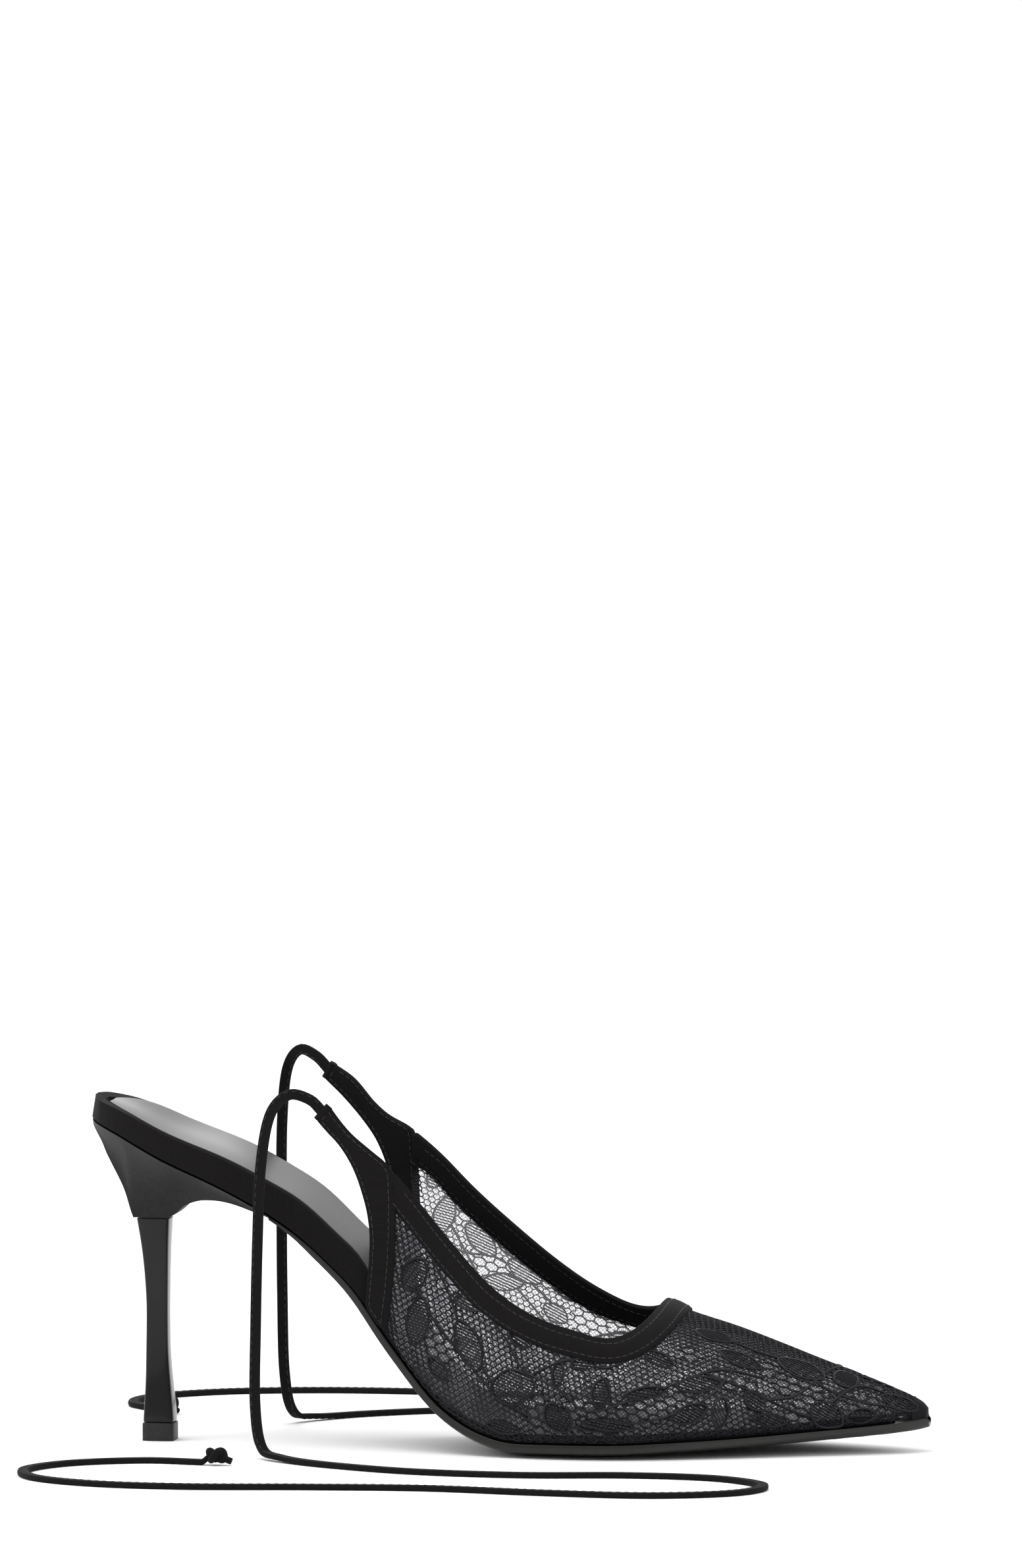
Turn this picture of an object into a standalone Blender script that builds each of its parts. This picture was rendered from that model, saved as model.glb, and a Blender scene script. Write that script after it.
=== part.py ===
# Pointed slingback pump with a lace upper, a covered stiletto heel and two tie straps.
# Metres, +Z up. X runs from heel to toe, -Y is the outer side of this right shoe.
# The shoe stands on the tip of its heel and on its forefoot, both at z = 0.
import math

import bmesh
import bpy
import numpy as np
from mathutils import Vector

MM = 0.001

# Driving dimensions
LENGTH = 235 * MM            # heel back to toe tip, level
BALL_WIDTH = 68 * MM         # insole board across the ball
HEEL_RISE = 88.5 * MM        # floor to the underside of the heel seat at its back
TOE_SPRING = 7.8 * MM        # floor to the sole's underside at the toe tip
INSTEP_HEIGHT = 41.5 * MM    # floor to the vamp ridge at the throat
TOPLINE_HEIGHT = 96 * MM     # floor to the outer tab's upper corner
GAP = 0.3 * MM               # clearance between neighbouring pieces

OUTSOLE_THICKNESS = 2.3 * MM
OUTSOLE_MARGIN = 1.5 * MM    # how far the sole reaches past the insole board, forward of the waist
SOLE_CAMBER = 1.9 * MM       # how far the sole's edges lift
FLAT_SHARE = 0.6             # share of the half width that stays flat underneath
LEAST = 0.5 * MM             # thinnest that a section is left

FOOTBED_RIM = 7.4 * MM       # board and padding, square to the seat, at heel and waist
FOOTBED_FORE = 2.6 * MM      # the same under the ball and toes
FOOTBED_DISH = 1.8 * MM      # how deep the heel seat is dished
SOCK_THICKNESS = 1.0 * MM
SOCK_INSET = 1.8 * MM        # rim of cover left showing beside the sock
RIM_BACK = 3.8 * MM          # the same behind the sock
RIM_LEAN = 1.0 * MM          # how far the rim's top leans in at the back of the heel
RIM_ROUND = 0.8 * MM         # how far the rim's outer edge falls away
SOCK_SUNK = 0.85             # share of the sock's depth that lies below the rim

LACE_WALL = 1.0 * MM         # lace, tulle and their lining together
BAND_PROUD = 0.4 * MM        # how far a cloth band stands out from the lace, on both faces
THROAT_BAND = 5.7 * MM       # width of the throat binding
THROAT_FRONT = 43.6 * MM     # x where the throat's edge crosses the ridge
THROAT_TURN = 24 * MM        # x where the throat's edge starts to turn in to the ridge
THROAT_ROUND = 2.4           # squareness of that turn, 2 for an ellipse
SEAM_GAP = 1.5 * GAP         # clearance between the lace and a quarter's band, measured along X
BAND_STRAIGHT = 0.6          # share of TOPLINE_HEIGHT near which a band's front edge stands upright
BAND_STARTS = (0.375, 0.372)  # share of LENGTH where the throat binding meets the outer and inner bands

HEEL_BREAST = 54 * MM        # length of the heel seat, from the back to the tip of the cup
CUP_JOINT = 0.706            # share of HEEL_RISE at which the cup stands on the stem
STEM_PLACE = 0.335           # share of HEEL_BREAST, from the back of the heel to the stem's middle
STEM_TOP = CUP_JOINT * HEEL_RISE
STEM_AXIS = STEM_PLACE * HEEL_BREAST - LENGTH / 2
STEM_DEPTH = 9.4 * MM        # stem along X at its top
STEM_WIDTH = 9.6 * MM        # stem along Y at its top
LIFT_HEIGHT = 5.0 * MM
LIFT_DEPTH = 9.2 * MM
LIFT_WIDTH = 9.8 * MM
LIFT_DRAFT = 0.97            # the lift's size at the floor, as a share of its size above
STEM_CHAMFER = 0.12          # bevel on the stem's corners, as a share of its half sizes
LIFT_CHAMFER = 0.14          # the same on the top lift

TIE_WIDTH = 3.0 * MM
KNOT_SIZE = 7.0 * MM
KNOT_WIDE = 0.84             # width and height of a knot as shares of its length
KNOT_HIGH = 0.80
KNOT_TAPER = 0.12

# The sole's underside: at = share of LENGTH from the heel, arch = share of HEEL_RISE
ARCH = (
    # at, arch
    (0.000, 1.000),
    (0.031, 0.972),
    (0.092, 0.893),
    (0.163, 0.810),
    (0.213, 0.739),
    (0.245, 0.685),
    (0.292, 0.573),
    (0.324, 0.479),
    (0.355, 0.354),
    (0.386, 0.241),
    (0.418, 0.136),
    (0.449, 0.068),
    (0.485, 0.022),
    (0.525, 0.000),
    (1.000, 0.000),
)

# Toe spring: spring = share of TOE_SPRING
SPRING = (
    # at, spring
    (0.000, 0.00),
    (0.640, 0.00),
    (0.707, 0.10),
    (0.794, 0.26),
    (0.857, 0.42),
    (0.940, 0.63),
    (0.987, 0.80),
    (1.000, 0.90),
)

# Plan of the insole board: outer and inner = shares of BALL_WIDTH either side of the middle line
BOARD = (
    # at, outer, inner
    (0.000, 0.040, 0.040),
    (0.004, 0.096, 0.096),
    (0.015, 0.172, 0.172),
    (0.040, 0.257, 0.257),
    (0.080, 0.318, 0.315),
    (0.120, 0.344, 0.341),
    (0.170, 0.353, 0.347),
    (0.220, 0.347, 0.330),
    (0.270, 0.332, 0.300),
    (0.320, 0.318, 0.282),
    (0.370, 0.321, 0.285),
    (0.430, 0.365, 0.315),
    (0.490, 0.430, 0.376),
    (0.550, 0.482, 0.444),
    (0.600, 0.503, 0.488),
    (0.650, 0.491, 0.503),
    (0.700, 0.450, 0.485),
    (0.760, 0.374, 0.426),
    (0.820, 0.285, 0.347),
    (0.880, 0.194, 0.259),
    (0.940, 0.104, 0.168),
    (0.975, 0.045, 0.110),
    (0.992, 0.008, 0.070),
    (1.000, -0.018, 0.045),
)

# Sections of the last above the board: ridge = share of INSTEP_HEIGHT, belly = height of the widest
# line over the board's edge as a share of INSTEP_HEIGHT, swell = how far it stands out there as a
# share of BALL_WIDTH, power = roundness of the arch over it
LAST = (
    # at, ridge, belly, swell, power
    (0.240, 3.45, 0.45, 0.016, 2.5),
    (0.347, 2.72, 0.42, 0.020, 2.5),
    (0.415, 2.27, 0.36, 0.024, 2.4),
    (0.500, 1.79, 0.30, 0.030, 2.3),
    (0.585, 1.38, 0.26, 0.030, 2.1),
    (0.649, 1.12, 0.23, 0.026, 2.0),
    (0.687, 1.00, 0.21, 0.024, 1.95),
    (0.715, 0.937, 0.19, 0.022, 1.9),
    (0.763, 0.858, 0.16, 0.018, 1.8),
    (0.810, 0.762, 0.13, 0.016, 1.75),
    (0.857, 0.658, 0.11, 0.014, 1.75),
    (0.904, 0.557, 0.09, 0.012, 1.8),
    (0.951, 0.452, 0.07, 0.010, 1.85),
    (0.983, 0.375, 0.05, 0.006, 1.9),
    (0.994, 0.335, 0.035, 0.004, 2.0),
    (1.000, 0.285, 0.015, 0.002, 2.0),
)

# Upper edge of the throat, back from THROAT_TURN: outer and inner = shares of TOPLINE_HEIGHT
TOPLINE = (
    # at, outer, inner
    (0.262, 1.100, 1.110),
    (0.300, 1.003, 1.053),
    (0.348, 0.878, 0.958),
    (0.373, 0.819, 0.893),
    (0.404, 0.736, 0.832),
    (0.436, 0.645, 0.748),
    (0.460, 0.582, 0.690),
    (0.490, 0.507, 0.622),
    (0.540, 0.424, 0.514),
    (0.580, 0.385, 0.442),
    (0.602, 0.371, 0.412),
    (0.640, 0.365, 0.398),
)

# Cloth band up the rear edge of a quarter, from the sole to the end of the tab: x as a share of
# LENGTH and height as a share of TOPLINE_HEIGHT, for the rear edge and for the front edge
OUTER_BAND = (
    # rear_at, rear_up, front_at, front_up
    (0.343, 0.418, 0.364, 0.348),
    (0.345, 0.482, 0.370, 0.455),
    (0.348, 0.550, 0.374, 0.552),
    (0.349, 0.622, 0.375, 0.645),
    (0.346, 0.690, 0.375, 0.729),
    (0.340, 0.748, 0.373, 0.815),
    (0.329, 0.822, 0.349, 0.873),
    (0.311, 0.893, 0.326, 0.921),
    (0.298, 0.927, 0.313, 0.957),
    (0.286, 0.961, 0.300, 1.000),
)
INNER_BAND = (
    (0.343, 0.418, 0.364, 0.348),
    (0.345, 0.482, 0.370, 0.455),
    (0.347, 0.550, 0.373, 0.552),
    (0.347, 0.630, 0.373, 0.650),
    (0.344, 0.715, 0.372, 0.775),
    (0.338, 0.790, 0.370, 0.893),
    (0.326, 0.865, 0.342, 0.935),
    (0.311, 0.920, 0.323, 0.975),
    (0.286, 0.990, 0.300, 1.042),
    (0.264, 1.040, 0.274, 1.082),
)

# Heel cup, from the back of the seat to its tip: at = share of HEEL_BREAST, under = height of its
# lowest line as a share of HEEL_RISE, foot = half width there as a share of BALL_WIDTH
CUP = (
    # at, under, foot
    (0.000, 1.000, 0.030),
    (0.042, 0.958, 0.070),
    (0.116, 0.872, 0.085),
    (0.184, 0.787, 0.078),
    (0.222, CUP_JOINT, 0.0706),
    (0.400, CUP_JOINT, 0.0706),
    (0.455, 0.724, 0.085),
    (0.490, 0.745, 0.110),
    (0.540, 0.760, 0.150),
    (0.610, 0.773, 0.200),
    (0.700, 0.776, 0.250),
    (0.790, 0.769, 0.290),
    (0.880, 0.752, 0.310),
    (0.950, 0.738, 0.325),
    (1.000, 0.727, 0.330),
)
CUP_FLARE = 1.7              # over 1, the cup's sides are hollow

# Heel stem: down = share of its height from the top, depth and width = shares of STEM_DEPTH and
# STEM_WIDTH, lean = the middle's shift along X as a share of STEM_DEPTH
STEM = (
    # down, depth, width, lean
    (0.00, 1.00, 1.00, -0.08),
    (0.12, 0.84, 0.84, -0.04),
    (0.27, 0.72, 0.73, 0.00),
    (0.45, 0.65, 0.66, 0.02),
    (0.62, 0.67, 0.68, 0.02),
    (0.80, 0.76, 0.77, 0.05),
    (0.94, 0.89, 0.88, 0.07),
    (1.00, 0.93, 0.92, 0.07),
)

# Routes of the two ties, chosen by hand, from the tab down to the floor and along it
TIE_LEFT_ROUTE = (
    (-0.0491, -0.0231, 0.0946),
    (-0.0525, -0.0240, 0.0980),
    (-0.0580, -0.0268, 0.0994),
    (-0.0625, -0.0308, 0.0940),
    (-0.0645, -0.0342, 0.0800),
    (-0.0650, -0.0366, 0.0600),
    (-0.0652, -0.0386, 0.0360),
    (-0.0650, -0.0408, 0.0150),
    (-0.0625, -0.0450, 0.0040),
    (-0.0560, -0.0520, 0.0020),
    (-0.0400, -0.0640, 0.0016),
    (-0.0150, -0.0760, 0.0016),
    (0.0150, -0.0800, 0.0016),
    (0.0450, -0.0760, 0.0016),
    (0.0700, -0.0800, 0.0016),
    (0.0850, -0.0960, 0.0016),
    (0.0800, -0.1140, 0.0016),
    (0.0580, -0.1240, 0.0016),
    (0.0280, -0.1220, 0.0016),
    (-0.0050, -0.1160, 0.0016),
    (-0.0380, -0.1180, 0.0016),
    (-0.0700, -0.1220, 0.0016),
    (-0.0960, -0.1190, 0.0016),
    (-0.1150, -0.1070, 0.0016),
    (-0.1210, -0.0880, 0.0016),
    (-0.1120, -0.0700, 0.0016),
    (-0.0930, -0.0600, 0.0016),
    (-0.0760, -0.0620, 0.0016),
)
TIE_RIGHT_ROUTE = (
    (-0.0547, 0.0213, 0.1023),
    (-0.0584, 0.0224, 0.1058),
    (-0.0636, 0.0254, 0.1072),
    (-0.0680, 0.0304, 0.1010),
    (-0.0700, 0.0340, 0.0860),
    (-0.0706, 0.0366, 0.0640),
    (-0.0708, 0.0388, 0.0380),
    (-0.0706, 0.0412, 0.0150),
    (-0.0690, 0.0460, 0.0040),
    (-0.0640, 0.0540, 0.0020),
    (-0.0500, 0.0680, 0.0016),
    (-0.0280, 0.0800, 0.0016),
    (0.0020, 0.0860, 0.0016),
    (0.0320, 0.0820, 0.0016),
    (0.0600, 0.0800, 0.0016),
    (0.0860, 0.0880, 0.0016),
    (0.0960, 0.1060, 0.0016),
    (0.0840, 0.1230, 0.0016),
    (0.0560, 0.1300, 0.0016),
    (0.0240, 0.1260, 0.0016),
    (-0.0080, 0.1220, 0.0016),
    (-0.0400, 0.1260, 0.0016),
    (-0.0720, 0.1260, 0.0016),
    (-0.1000, 0.1180, 0.0016),
    (-0.1180, 0.1020, 0.0016),
    (-0.1210, 0.0830, 0.0016),
    (-0.1100, 0.0680, 0.0016),
)

OUTER, INNER = -1, 1         # the two sides of the shoe along Y
DISH_PARTS = (1, 0.75, 0.4)  # columns of the sock and its bed, as shares of the half width


def column(table, number):
    return [row[number] for row in table]


def smooth(places, values, place):
    # Monotone cubic through the rows of a table, so it never swings past them
    xs = np.asarray(places, float)
    ys = np.asarray(values, float)
    steps = np.diff(xs)
    slopes = np.diff(ys) / steps
    tangents = np.zeros(len(xs))
    tangents[0], tangents[-1] = slopes[0], slopes[-1]
    for k in range(1, len(xs) - 1):
        if slopes[k - 1] * slopes[k] > 0:
            before = 2 * steps[k] + steps[k - 1]
            after = steps[k] + 2 * steps[k - 1]
            tangents[k] = (before + after) / (before / slopes[k - 1] + after / slopes[k])
    place = min(max(place, xs[0]), xs[-1])
    k = min(int(np.searchsorted(xs, place, side="right")) - 1, len(steps) - 1)
    t = (place - xs[k]) / steps[k]
    return float(
        (1 + 2 * t) * (1 - t) ** 2 * ys[k]
        + t * (1 - t) ** 2 * steps[k] * tangents[k]
        + t * t * (3 - 2 * t) * ys[k + 1]
        + t * t * (t - 1) * steps[k] * tangents[k + 1]
    )


def read(table, number, at):
    return smooth(column(table, 0), column(table, number), at)


def share(x):
    return x / LENGTH + 0.5


def along(at):
    return LENGTH * (at - 0.5)


def underside(x):
    # Height of the sole's underside on the middle line
    at = share(x)
    return HEEL_RISE * read(ARCH, 1, at) + TOE_SPRING * read(SPRING, 1, at)


def steepness(x):
    # Length along the sole for each unit along X
    step = 0.5 * MM
    rise = (underside(x + step) - underside(x - step)) / (2 * step)
    return math.hypot(1, rise)


def outsole_thickness(x):
    thinning = smooth((0.0, 0.25, 0.40, 0.62, 0.85, 1.0), (0.72, 0.72, 0.86, 1.0, 0.72, 0.56), share(x))
    return OUTSOLE_THICKNESS * thinning * steepness(x)


def seat(x):
    # Height of the footbed's underside on the middle line
    return underside(x) + outsole_thickness(x)


def lift(reach, x):
    # How far the sole has risen at a share of its half width, flat in the middle; the heel seat is flat
    fore = smooth((0.30, 0.46), (0.0, 1.0), share(x))
    out = max(0.0, (abs(reach) - FLAT_SHARE) / (1 - FLAT_SHARE))
    return SOLE_CAMBER * fore * out * out


def board(x):
    # Middle and half width of the insole board
    at = share(x)
    outer = BALL_WIDTH * read(BOARD, 1, at)
    inner = BALL_WIDTH * read(BOARD, 2, at)
    return (inner - outer) / 2, (inner + outer) / 2


def spread(first, last, count, ends):
    # Places from first to last, closer together at the ends named in the word ends
    places = []
    for k in range(count):
        t = k / (count - 1)
        if ends == "both":
            t = (1 - math.cos(math.pi * t)) / 2
        elif ends == "last":
            t = math.sin(math.pi * t / 2)
        elif ends == "first":
            t = 1 - math.cos(math.pi * t / 2)
        places.append(first + (last - first) * t)
    return places


def material(name, colour, roughness, metallic=0.0):
    finish = bpy.data.materials.new(name)
    finish.use_nodes = True
    shader = finish.node_tree.nodes["Principled BSDF"]
    shader.inputs["Base Color"].default_value = (*colour, 1.0)
    shader.inputs["Roughness"].default_value = roughness
    shader.inputs["Metallic"].default_value = metallic
    finish.diffuse_color = (*colour, 1.0)
    return finish


def link(name, mesh, finish):
    piece = bpy.data.objects.new(name, mesh)
    bpy.context.scene.collection.objects.link(piece)
    mesh.materials.append(finish)
    return piece


def build_mesh(name, points, faces, finish, crease=40):
    mesh = bpy.data.meshes.new(name)
    mesh.from_pydata([tuple(p) for p in points], [], faces)
    shape = bmesh.new()
    shape.from_mesh(mesh)
    bmesh.ops.remove_doubles(shape, verts=shape.verts, dist=0.00001)
    bmesh.ops.triangulate(shape, faces=shape.faces)
    bmesh.ops.dissolve_degenerate(shape, dist=0.000005, edges=shape.edges)
    bmesh.ops.recalc_face_normals(shape, faces=shape.faces)
    shape.to_mesh(mesh)
    shape.free()
    mesh.shade_smooth()
    mesh.set_sharp_from_angle(angle=math.radians(crease))
    return link(name, mesh, finish)


def two_skins(name, top, bottom, finish):
    # A closed solid between two grids of points with the same rows and columns
    rows, columns = len(top), len(top[0])
    points = [p for row in top for p in row] + [p for row in bottom for p in row]
    under = rows * columns
    faces = []
    for i in range(rows - 1):
        for j in range(columns - 1):
            a, b = i * columns + j, i * columns + j + 1
            c, d = a + columns, b + columns
            faces.append((a, b, d, c))
            faces.append((under + a, under + c, under + d, under + b))
    rim = [i * columns for i in range(rows)]
    rim += [(rows - 1) * columns + j for j in range(1, columns)]
    rim += [i * columns + columns - 1 for i in range(rows - 2, -1, -1)]
    rim += [j for j in range(columns - 2, 0, -1)]
    for a, b in zip(rim, rim[1:] + rim[:1]):
        faces.append((a, b, under + b, under + a))
    return build_mesh(name, points, faces, finish)


def stations(first, last):
    # Places shared by the sole, footbed and sock, so that their faces lie on one another
    places = spread(along(0.0), along(0.14), 11, "first")
    places += spread(along(0.14), along(0.56), 25, "none")[1:]
    places += spread(along(0.56), along(1.0), 15, "last")[1:]
    inside = [x for x in places if first + MM < x < last - MM]
    return [first] + inside + [last]


def board_margin(x):
    # The sole's edge runs just inside the covered rim at the waist and past the board further on
    return smooth((0.0, 0.31, 0.37, 1.0), (-GAP, -GAP, OUTSOLE_MARGIN, OUTSOLE_MARGIN), share(x))


def make_outsole(finish):
    reaches = (-1, -0.93, -0.8, -FLAT_SHARE, -0.3, 0, 0.3, FLAT_SHARE, 0.8, 0.93, 1)
    top, bottom = [], []
    for x in stations(along(0) + HEEL_BREAST + GAP, along(1.0)):
        middle, half = board(x)
        half += board_margin(x)
        upper_row, lower_row = [], []
        for reach in reaches:
            y = middle + half * reach
            rise = lift(reach, x)
            upper_row.append((x, y, seat(x) + rise))
            lower_row.append((x, y, underside(x) + rise))
        top.append(upper_row)
        bottom.append(lower_row)
    return two_skins("outsole", top, bottom, finish)


def footbed_thickness(x):
    thinning = smooth((0.0, 0.05, 0.20, 0.28, 0.345, 0.40, 0.47, 1.0),
                      (0.88, 0.90, 1.12, 1.05, 0.72, 0.36, 0.0, 0.0), share(x))
    return (FOOTBED_FORE + (FOOTBED_RIM - FOOTBED_FORE) * thinning) * steepness(x)


def dish(reach, x):
    # Hollow of the footbed's top, deepest on the middle line of the heel seat
    depth = FOOTBED_DISH * smooth((0.0, 0.06, 0.30, 0.48, 1.0), (0.5, 1.0, 0.9, 0.15, 0.0), share(x))
    return depth * (1 - reach * reach)


def footbed_top(reach, x):
    return seat(x) + GAP * steepness(x) + lift(reach, x) + footbed_thickness(x) - dish(reach, x)


def sock_recess(x):
    # The sock lies in a shallow recess, nearly level with the rim round it
    return (SOCK_THICKNESS + GAP) * steepness(x) * SOCK_SUNK


def sock_half(x):
    # Half width of the sock, rounded at its back like the heel seat
    beside = board(x)[1] - SOCK_INSET
    return min(beside, board(x - RIM_BACK - RIM_LEAN)[1])


def make_footbed(finish):
    first = along(0.0) + RIM_BACK
    top, bottom = [], []
    for x in sorted(stations(along(0.0), along(0.955)) + [first, first + GAP]):
        middle, half = board(x)
        step_out = min(0.97, (sock_half(x) + 2 * GAP) / half)
        step_in = step_out - GAP / half
        inner = [step_in * part for part in DISH_PARTS]
        reaches = [-1, -step_out] + [-reach for reach in inner] + [0] + inner[::-1] + [step_out, 1]
        drawn = RIM_LEAN * max(0.0, 1 - (x - along(0.0)) / RIM_BACK)
        upper_row, lower_row = [], []
        for reach in reaches:
            y = middle + half * reach
            height = footbed_top(reach, x)
            if abs(reach) == 1:
                height -= RIM_ROUND
            elif abs(reach) <= step_in and x > first + GAP / 2:
                height -= sock_recess(x)
            upper_row.append((x + drawn, y, height))
            lower_row.append((x, y, seat(x) + GAP * steepness(x) + lift(reach, x)))
        top.append(upper_row)
        bottom.append(lower_row)
    return two_skins("footbed", top, bottom, finish)


def make_sock(finish):
    reaches = [-part for part in DISH_PARTS] + [0] + list(DISH_PARTS[::-1])
    top, bottom = [], []
    first = along(0.0) + RIM_BACK + RIM_LEAN + 2 * GAP
    for x in stations(first, along(0.94)):
        middle, half = board(x)
        clear = sock_half(x)
        upper_row, lower_row = [], []
        for reach in reaches:
            y = middle + clear * reach
            base = footbed_top(clear / half * reach, x) - sock_recess(x) + GAP * steepness(x)
            upper_row.append((x, y, base + SOCK_THICKNESS * steepness(x)))
            lower_row.append((x, y, base))
        top.append(upper_row)
        bottom.append(lower_row)
    return two_skins("sock", top, bottom, finish)


def bevelled_ring(x, z, half_depth, half_width, chamfer):
    # Level rectangle with its corners cut, as eight points
    corner = 1 - chamfer
    shape = ((-1, -corner), (-corner, -1), (corner, -1), (1, -corner),
             (1, corner), (corner, 1), (-corner, 1), (-1, corner))
    return [(x + half_depth * u, half_width * v, z) for u, v in shape]


def stacked(name, rings, finish):
    # A closed solid through a pile of rings with the same number of points
    count = len(rings[0])
    points = [p for ring in rings for p in ring]
    faces = []
    for i in range(len(rings) - 1):
        for k in range(count):
            a, b = i * count + k, i * count + (k + 1) % count
            faces.append((a, b, b + count, a + count))
    faces.append(tuple(range(count)))
    faces.append(tuple(range(len(points) - count, len(points))))
    return build_mesh(name, points, faces, finish)


def make_heel_cup(finish):
    # Vertical sections: a hollow flare from the stem out to the heel seat
    steps = 7
    places = []
    for a, b in zip(CUP, CUP[1:]):
        places += [a[0], (a[0] + b[0]) / 2]
    places.append(CUP[-1][0])
    rings = []
    for at in places:
        x = along(0) + HEEL_BREAST * at
        middle, half = board(x)
        half -= GAP
        roof = seat(x) - GAP * steepness(x)
        floor = min(HEEL_RISE * read(CUP, 1, at), roof - LEAST)
        foot = min(BALL_WIDTH * read(CUP, 2, at), half)
        ring = []
        for side in (OUTER, INNER):
            flank = []
            for k in range(steps):
                t = k / (steps - 1)
                width = foot + (half - foot) * t ** CUP_FLARE
                flank.append((x, middle * t + side * width, floor + (roof - floor) * t))
            ring += flank if side == INNER else flank[::-1]
        rings.append(ring)
    return stacked("heel_cup", rings, finish)


def make_heel_stem(finish):
    top, bottom = STEM_TOP - GAP, LIFT_HEIGHT + GAP
    steps = 14
    rings = []
    for k in range(steps + 1):
        down = k / steps
        half_depth = STEM_DEPTH * read(STEM, 1, down) / 2
        half_width = STEM_WIDTH * read(STEM, 2, down) / 2
        x = STEM_AXIS + STEM_DEPTH * read(STEM, 3, down)
        z = top + (bottom - top) * down
        rings.append(bevelled_ring(x, z, half_depth, half_width, STEM_CHAMFER))
    return stacked("heel_stem", rings, finish)


def make_top_lift(finish):
    # Sized to cover the foot of the stem, drawn in a little at the floor
    x = STEM_AXIS + STEM_DEPTH * read(STEM, 3, 1.0)
    rings = []
    for z, scale in ((0.0, LIFT_DRAFT), (GAP, 1.0), (LIFT_HEIGHT, 1.0)):
        half_depth, half_width = LIFT_DEPTH / 2 * scale, LIFT_WIDTH / 2 * scale
        rings.append(bevelled_ring(x, z, half_depth, half_width, LIFT_CHAMFER))
    return stacked("top_lift", rings, finish)


def last_section(x):
    # Sizes of the last's section at x, on the outer face of the lace
    at = share(x)
    middle, half = board(x)
    edge = half + GAP + LACE_WALL
    foot = seat(x) + lift(1.0, x) + GAP
    belly = INSTEP_HEIGHT * read(LAST, 2, at)
    widest = edge + BALL_WIDTH * read(LAST, 3, at)
    ridge = INSTEP_HEIGHT * read(LAST, 1, at)
    return middle, edge, widest, foot, foot + belly, max(ridge, foot + belly + LEAST), read(LAST, 4, at)


def on_last(x, side, turn, out=0.0):
    # A point of the last at x. turn runs from -1 at the sole to 0 at the widest line and 1 at the
    # ridge; out moves it out of the lace's outer face
    middle, edge, widest, foot, belly, ridge, power = last_section(x)
    if turn < 0:
        half = edge + (widest - edge) * math.sin(math.pi / 2 * (turn + 1)) + out
        return x, middle + side * half, foot + (belly - foot) * (turn + 1)
    angle = math.pi / 2 * min(turn, 1.0)
    half = (widest + out) * max(0.0, math.cos(angle)) ** (2 / power)
    return x, middle + side * half, belly + (ridge + out - belly) * math.sin(angle) ** (2 / power)


def turn_at(x, z):
    # The turn at which the last reaches height z at x
    middle, edge, widest, foot, belly, ridge, power = last_section(x)
    if z <= belly:
        return (z - foot) / (belly - foot) - 1
    rise = min(1.0, (z - belly) / (ridge - belly))
    return math.asin(rise ** (power / 2)) * 2 / math.pi


def topline(x, side):
    return TOPLINE_HEIGHT * read(TOPLINE, 1 if side == OUTER else 2, share(x))


def throat_turn(x, side, drop):
    # Turn of a line that runs a distance drop below the throat's edge, across the ridge at its front
    behind = min(x, THROAT_TURN)
    step = 1.0 * MM
    rise = (topline(behind + step, side) - topline(behind - step, side)) / (2 * step)
    turn = turn_at(behind, topline(behind, side) - drop * math.hypot(1, rise))
    if x <= THROAT_TURN:
        return turn
    t = (x - THROAT_TURN) / (THROAT_FRONT + drop - THROAT_TURN)
    return 1 - (1 - turn) * max(0.0, 1 - t ** THROAT_ROUND) ** (1 / THROAT_ROUND)


def band_edge(table, side, progress, front):
    # A point along one edge of a quarter's band, as x and height
    number = 2 if front else 0
    places = [k / (len(table) - 1) for k in range(len(table))]
    x = along(smooth(places, column(table, number), progress))
    z = TOPLINE_HEIGHT * smooth(places, column(table, number + 1), progress)
    return x, z


def band_front_at(side, z):
    # x of the front edge of a quarter's band at height z, where the lace starts
    table = OUTER_BAND if side == OUTER else INNER_BAND
    rows = [row for row in table if row[3] <= table[5][3]]
    heights = [TOPLINE_HEIGHT * row[3] for row in rows]
    return smooth(heights, [along(row[2]) for row in rows], z)


def band_proud(t):
    # A band's height over the lace across its width, thinner at its two edges
    return BAND_PROUD * math.sin(math.pi * min(0.9, max(0.1, t)))


def lace_points(side, out, places, settle, rows):
    # Rows of points from the sole to the throat; the first few places lean to follow the band
    grid = []
    for i, x in enumerate(places):
        ease = max(0.0, 1 - i / settle)
        line = []
        for k in range(rows):
            base = throat_turn(x, side, THROAT_BAND + GAP) if x < THROAT_FRONT + THROAT_BAND + GAP else 1.0
            turn = -1 + (base + 1) * k / (rows - 1)
            z = on_last(x, side, turn)[2]
            start = band_front_at(side, z) + SEAM_GAP
            moved = x + ease * (start - places[0])
            limit = throat_turn(moved, side, THROAT_BAND + GAP) if x < THROAT_FRONT + THROAT_BAND else base
            turn = -1 + (limit + 1) * k / (rows - 1)
            line.append(on_last(moved, side, turn, out))
        grid.append(line)
    return grid


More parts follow.
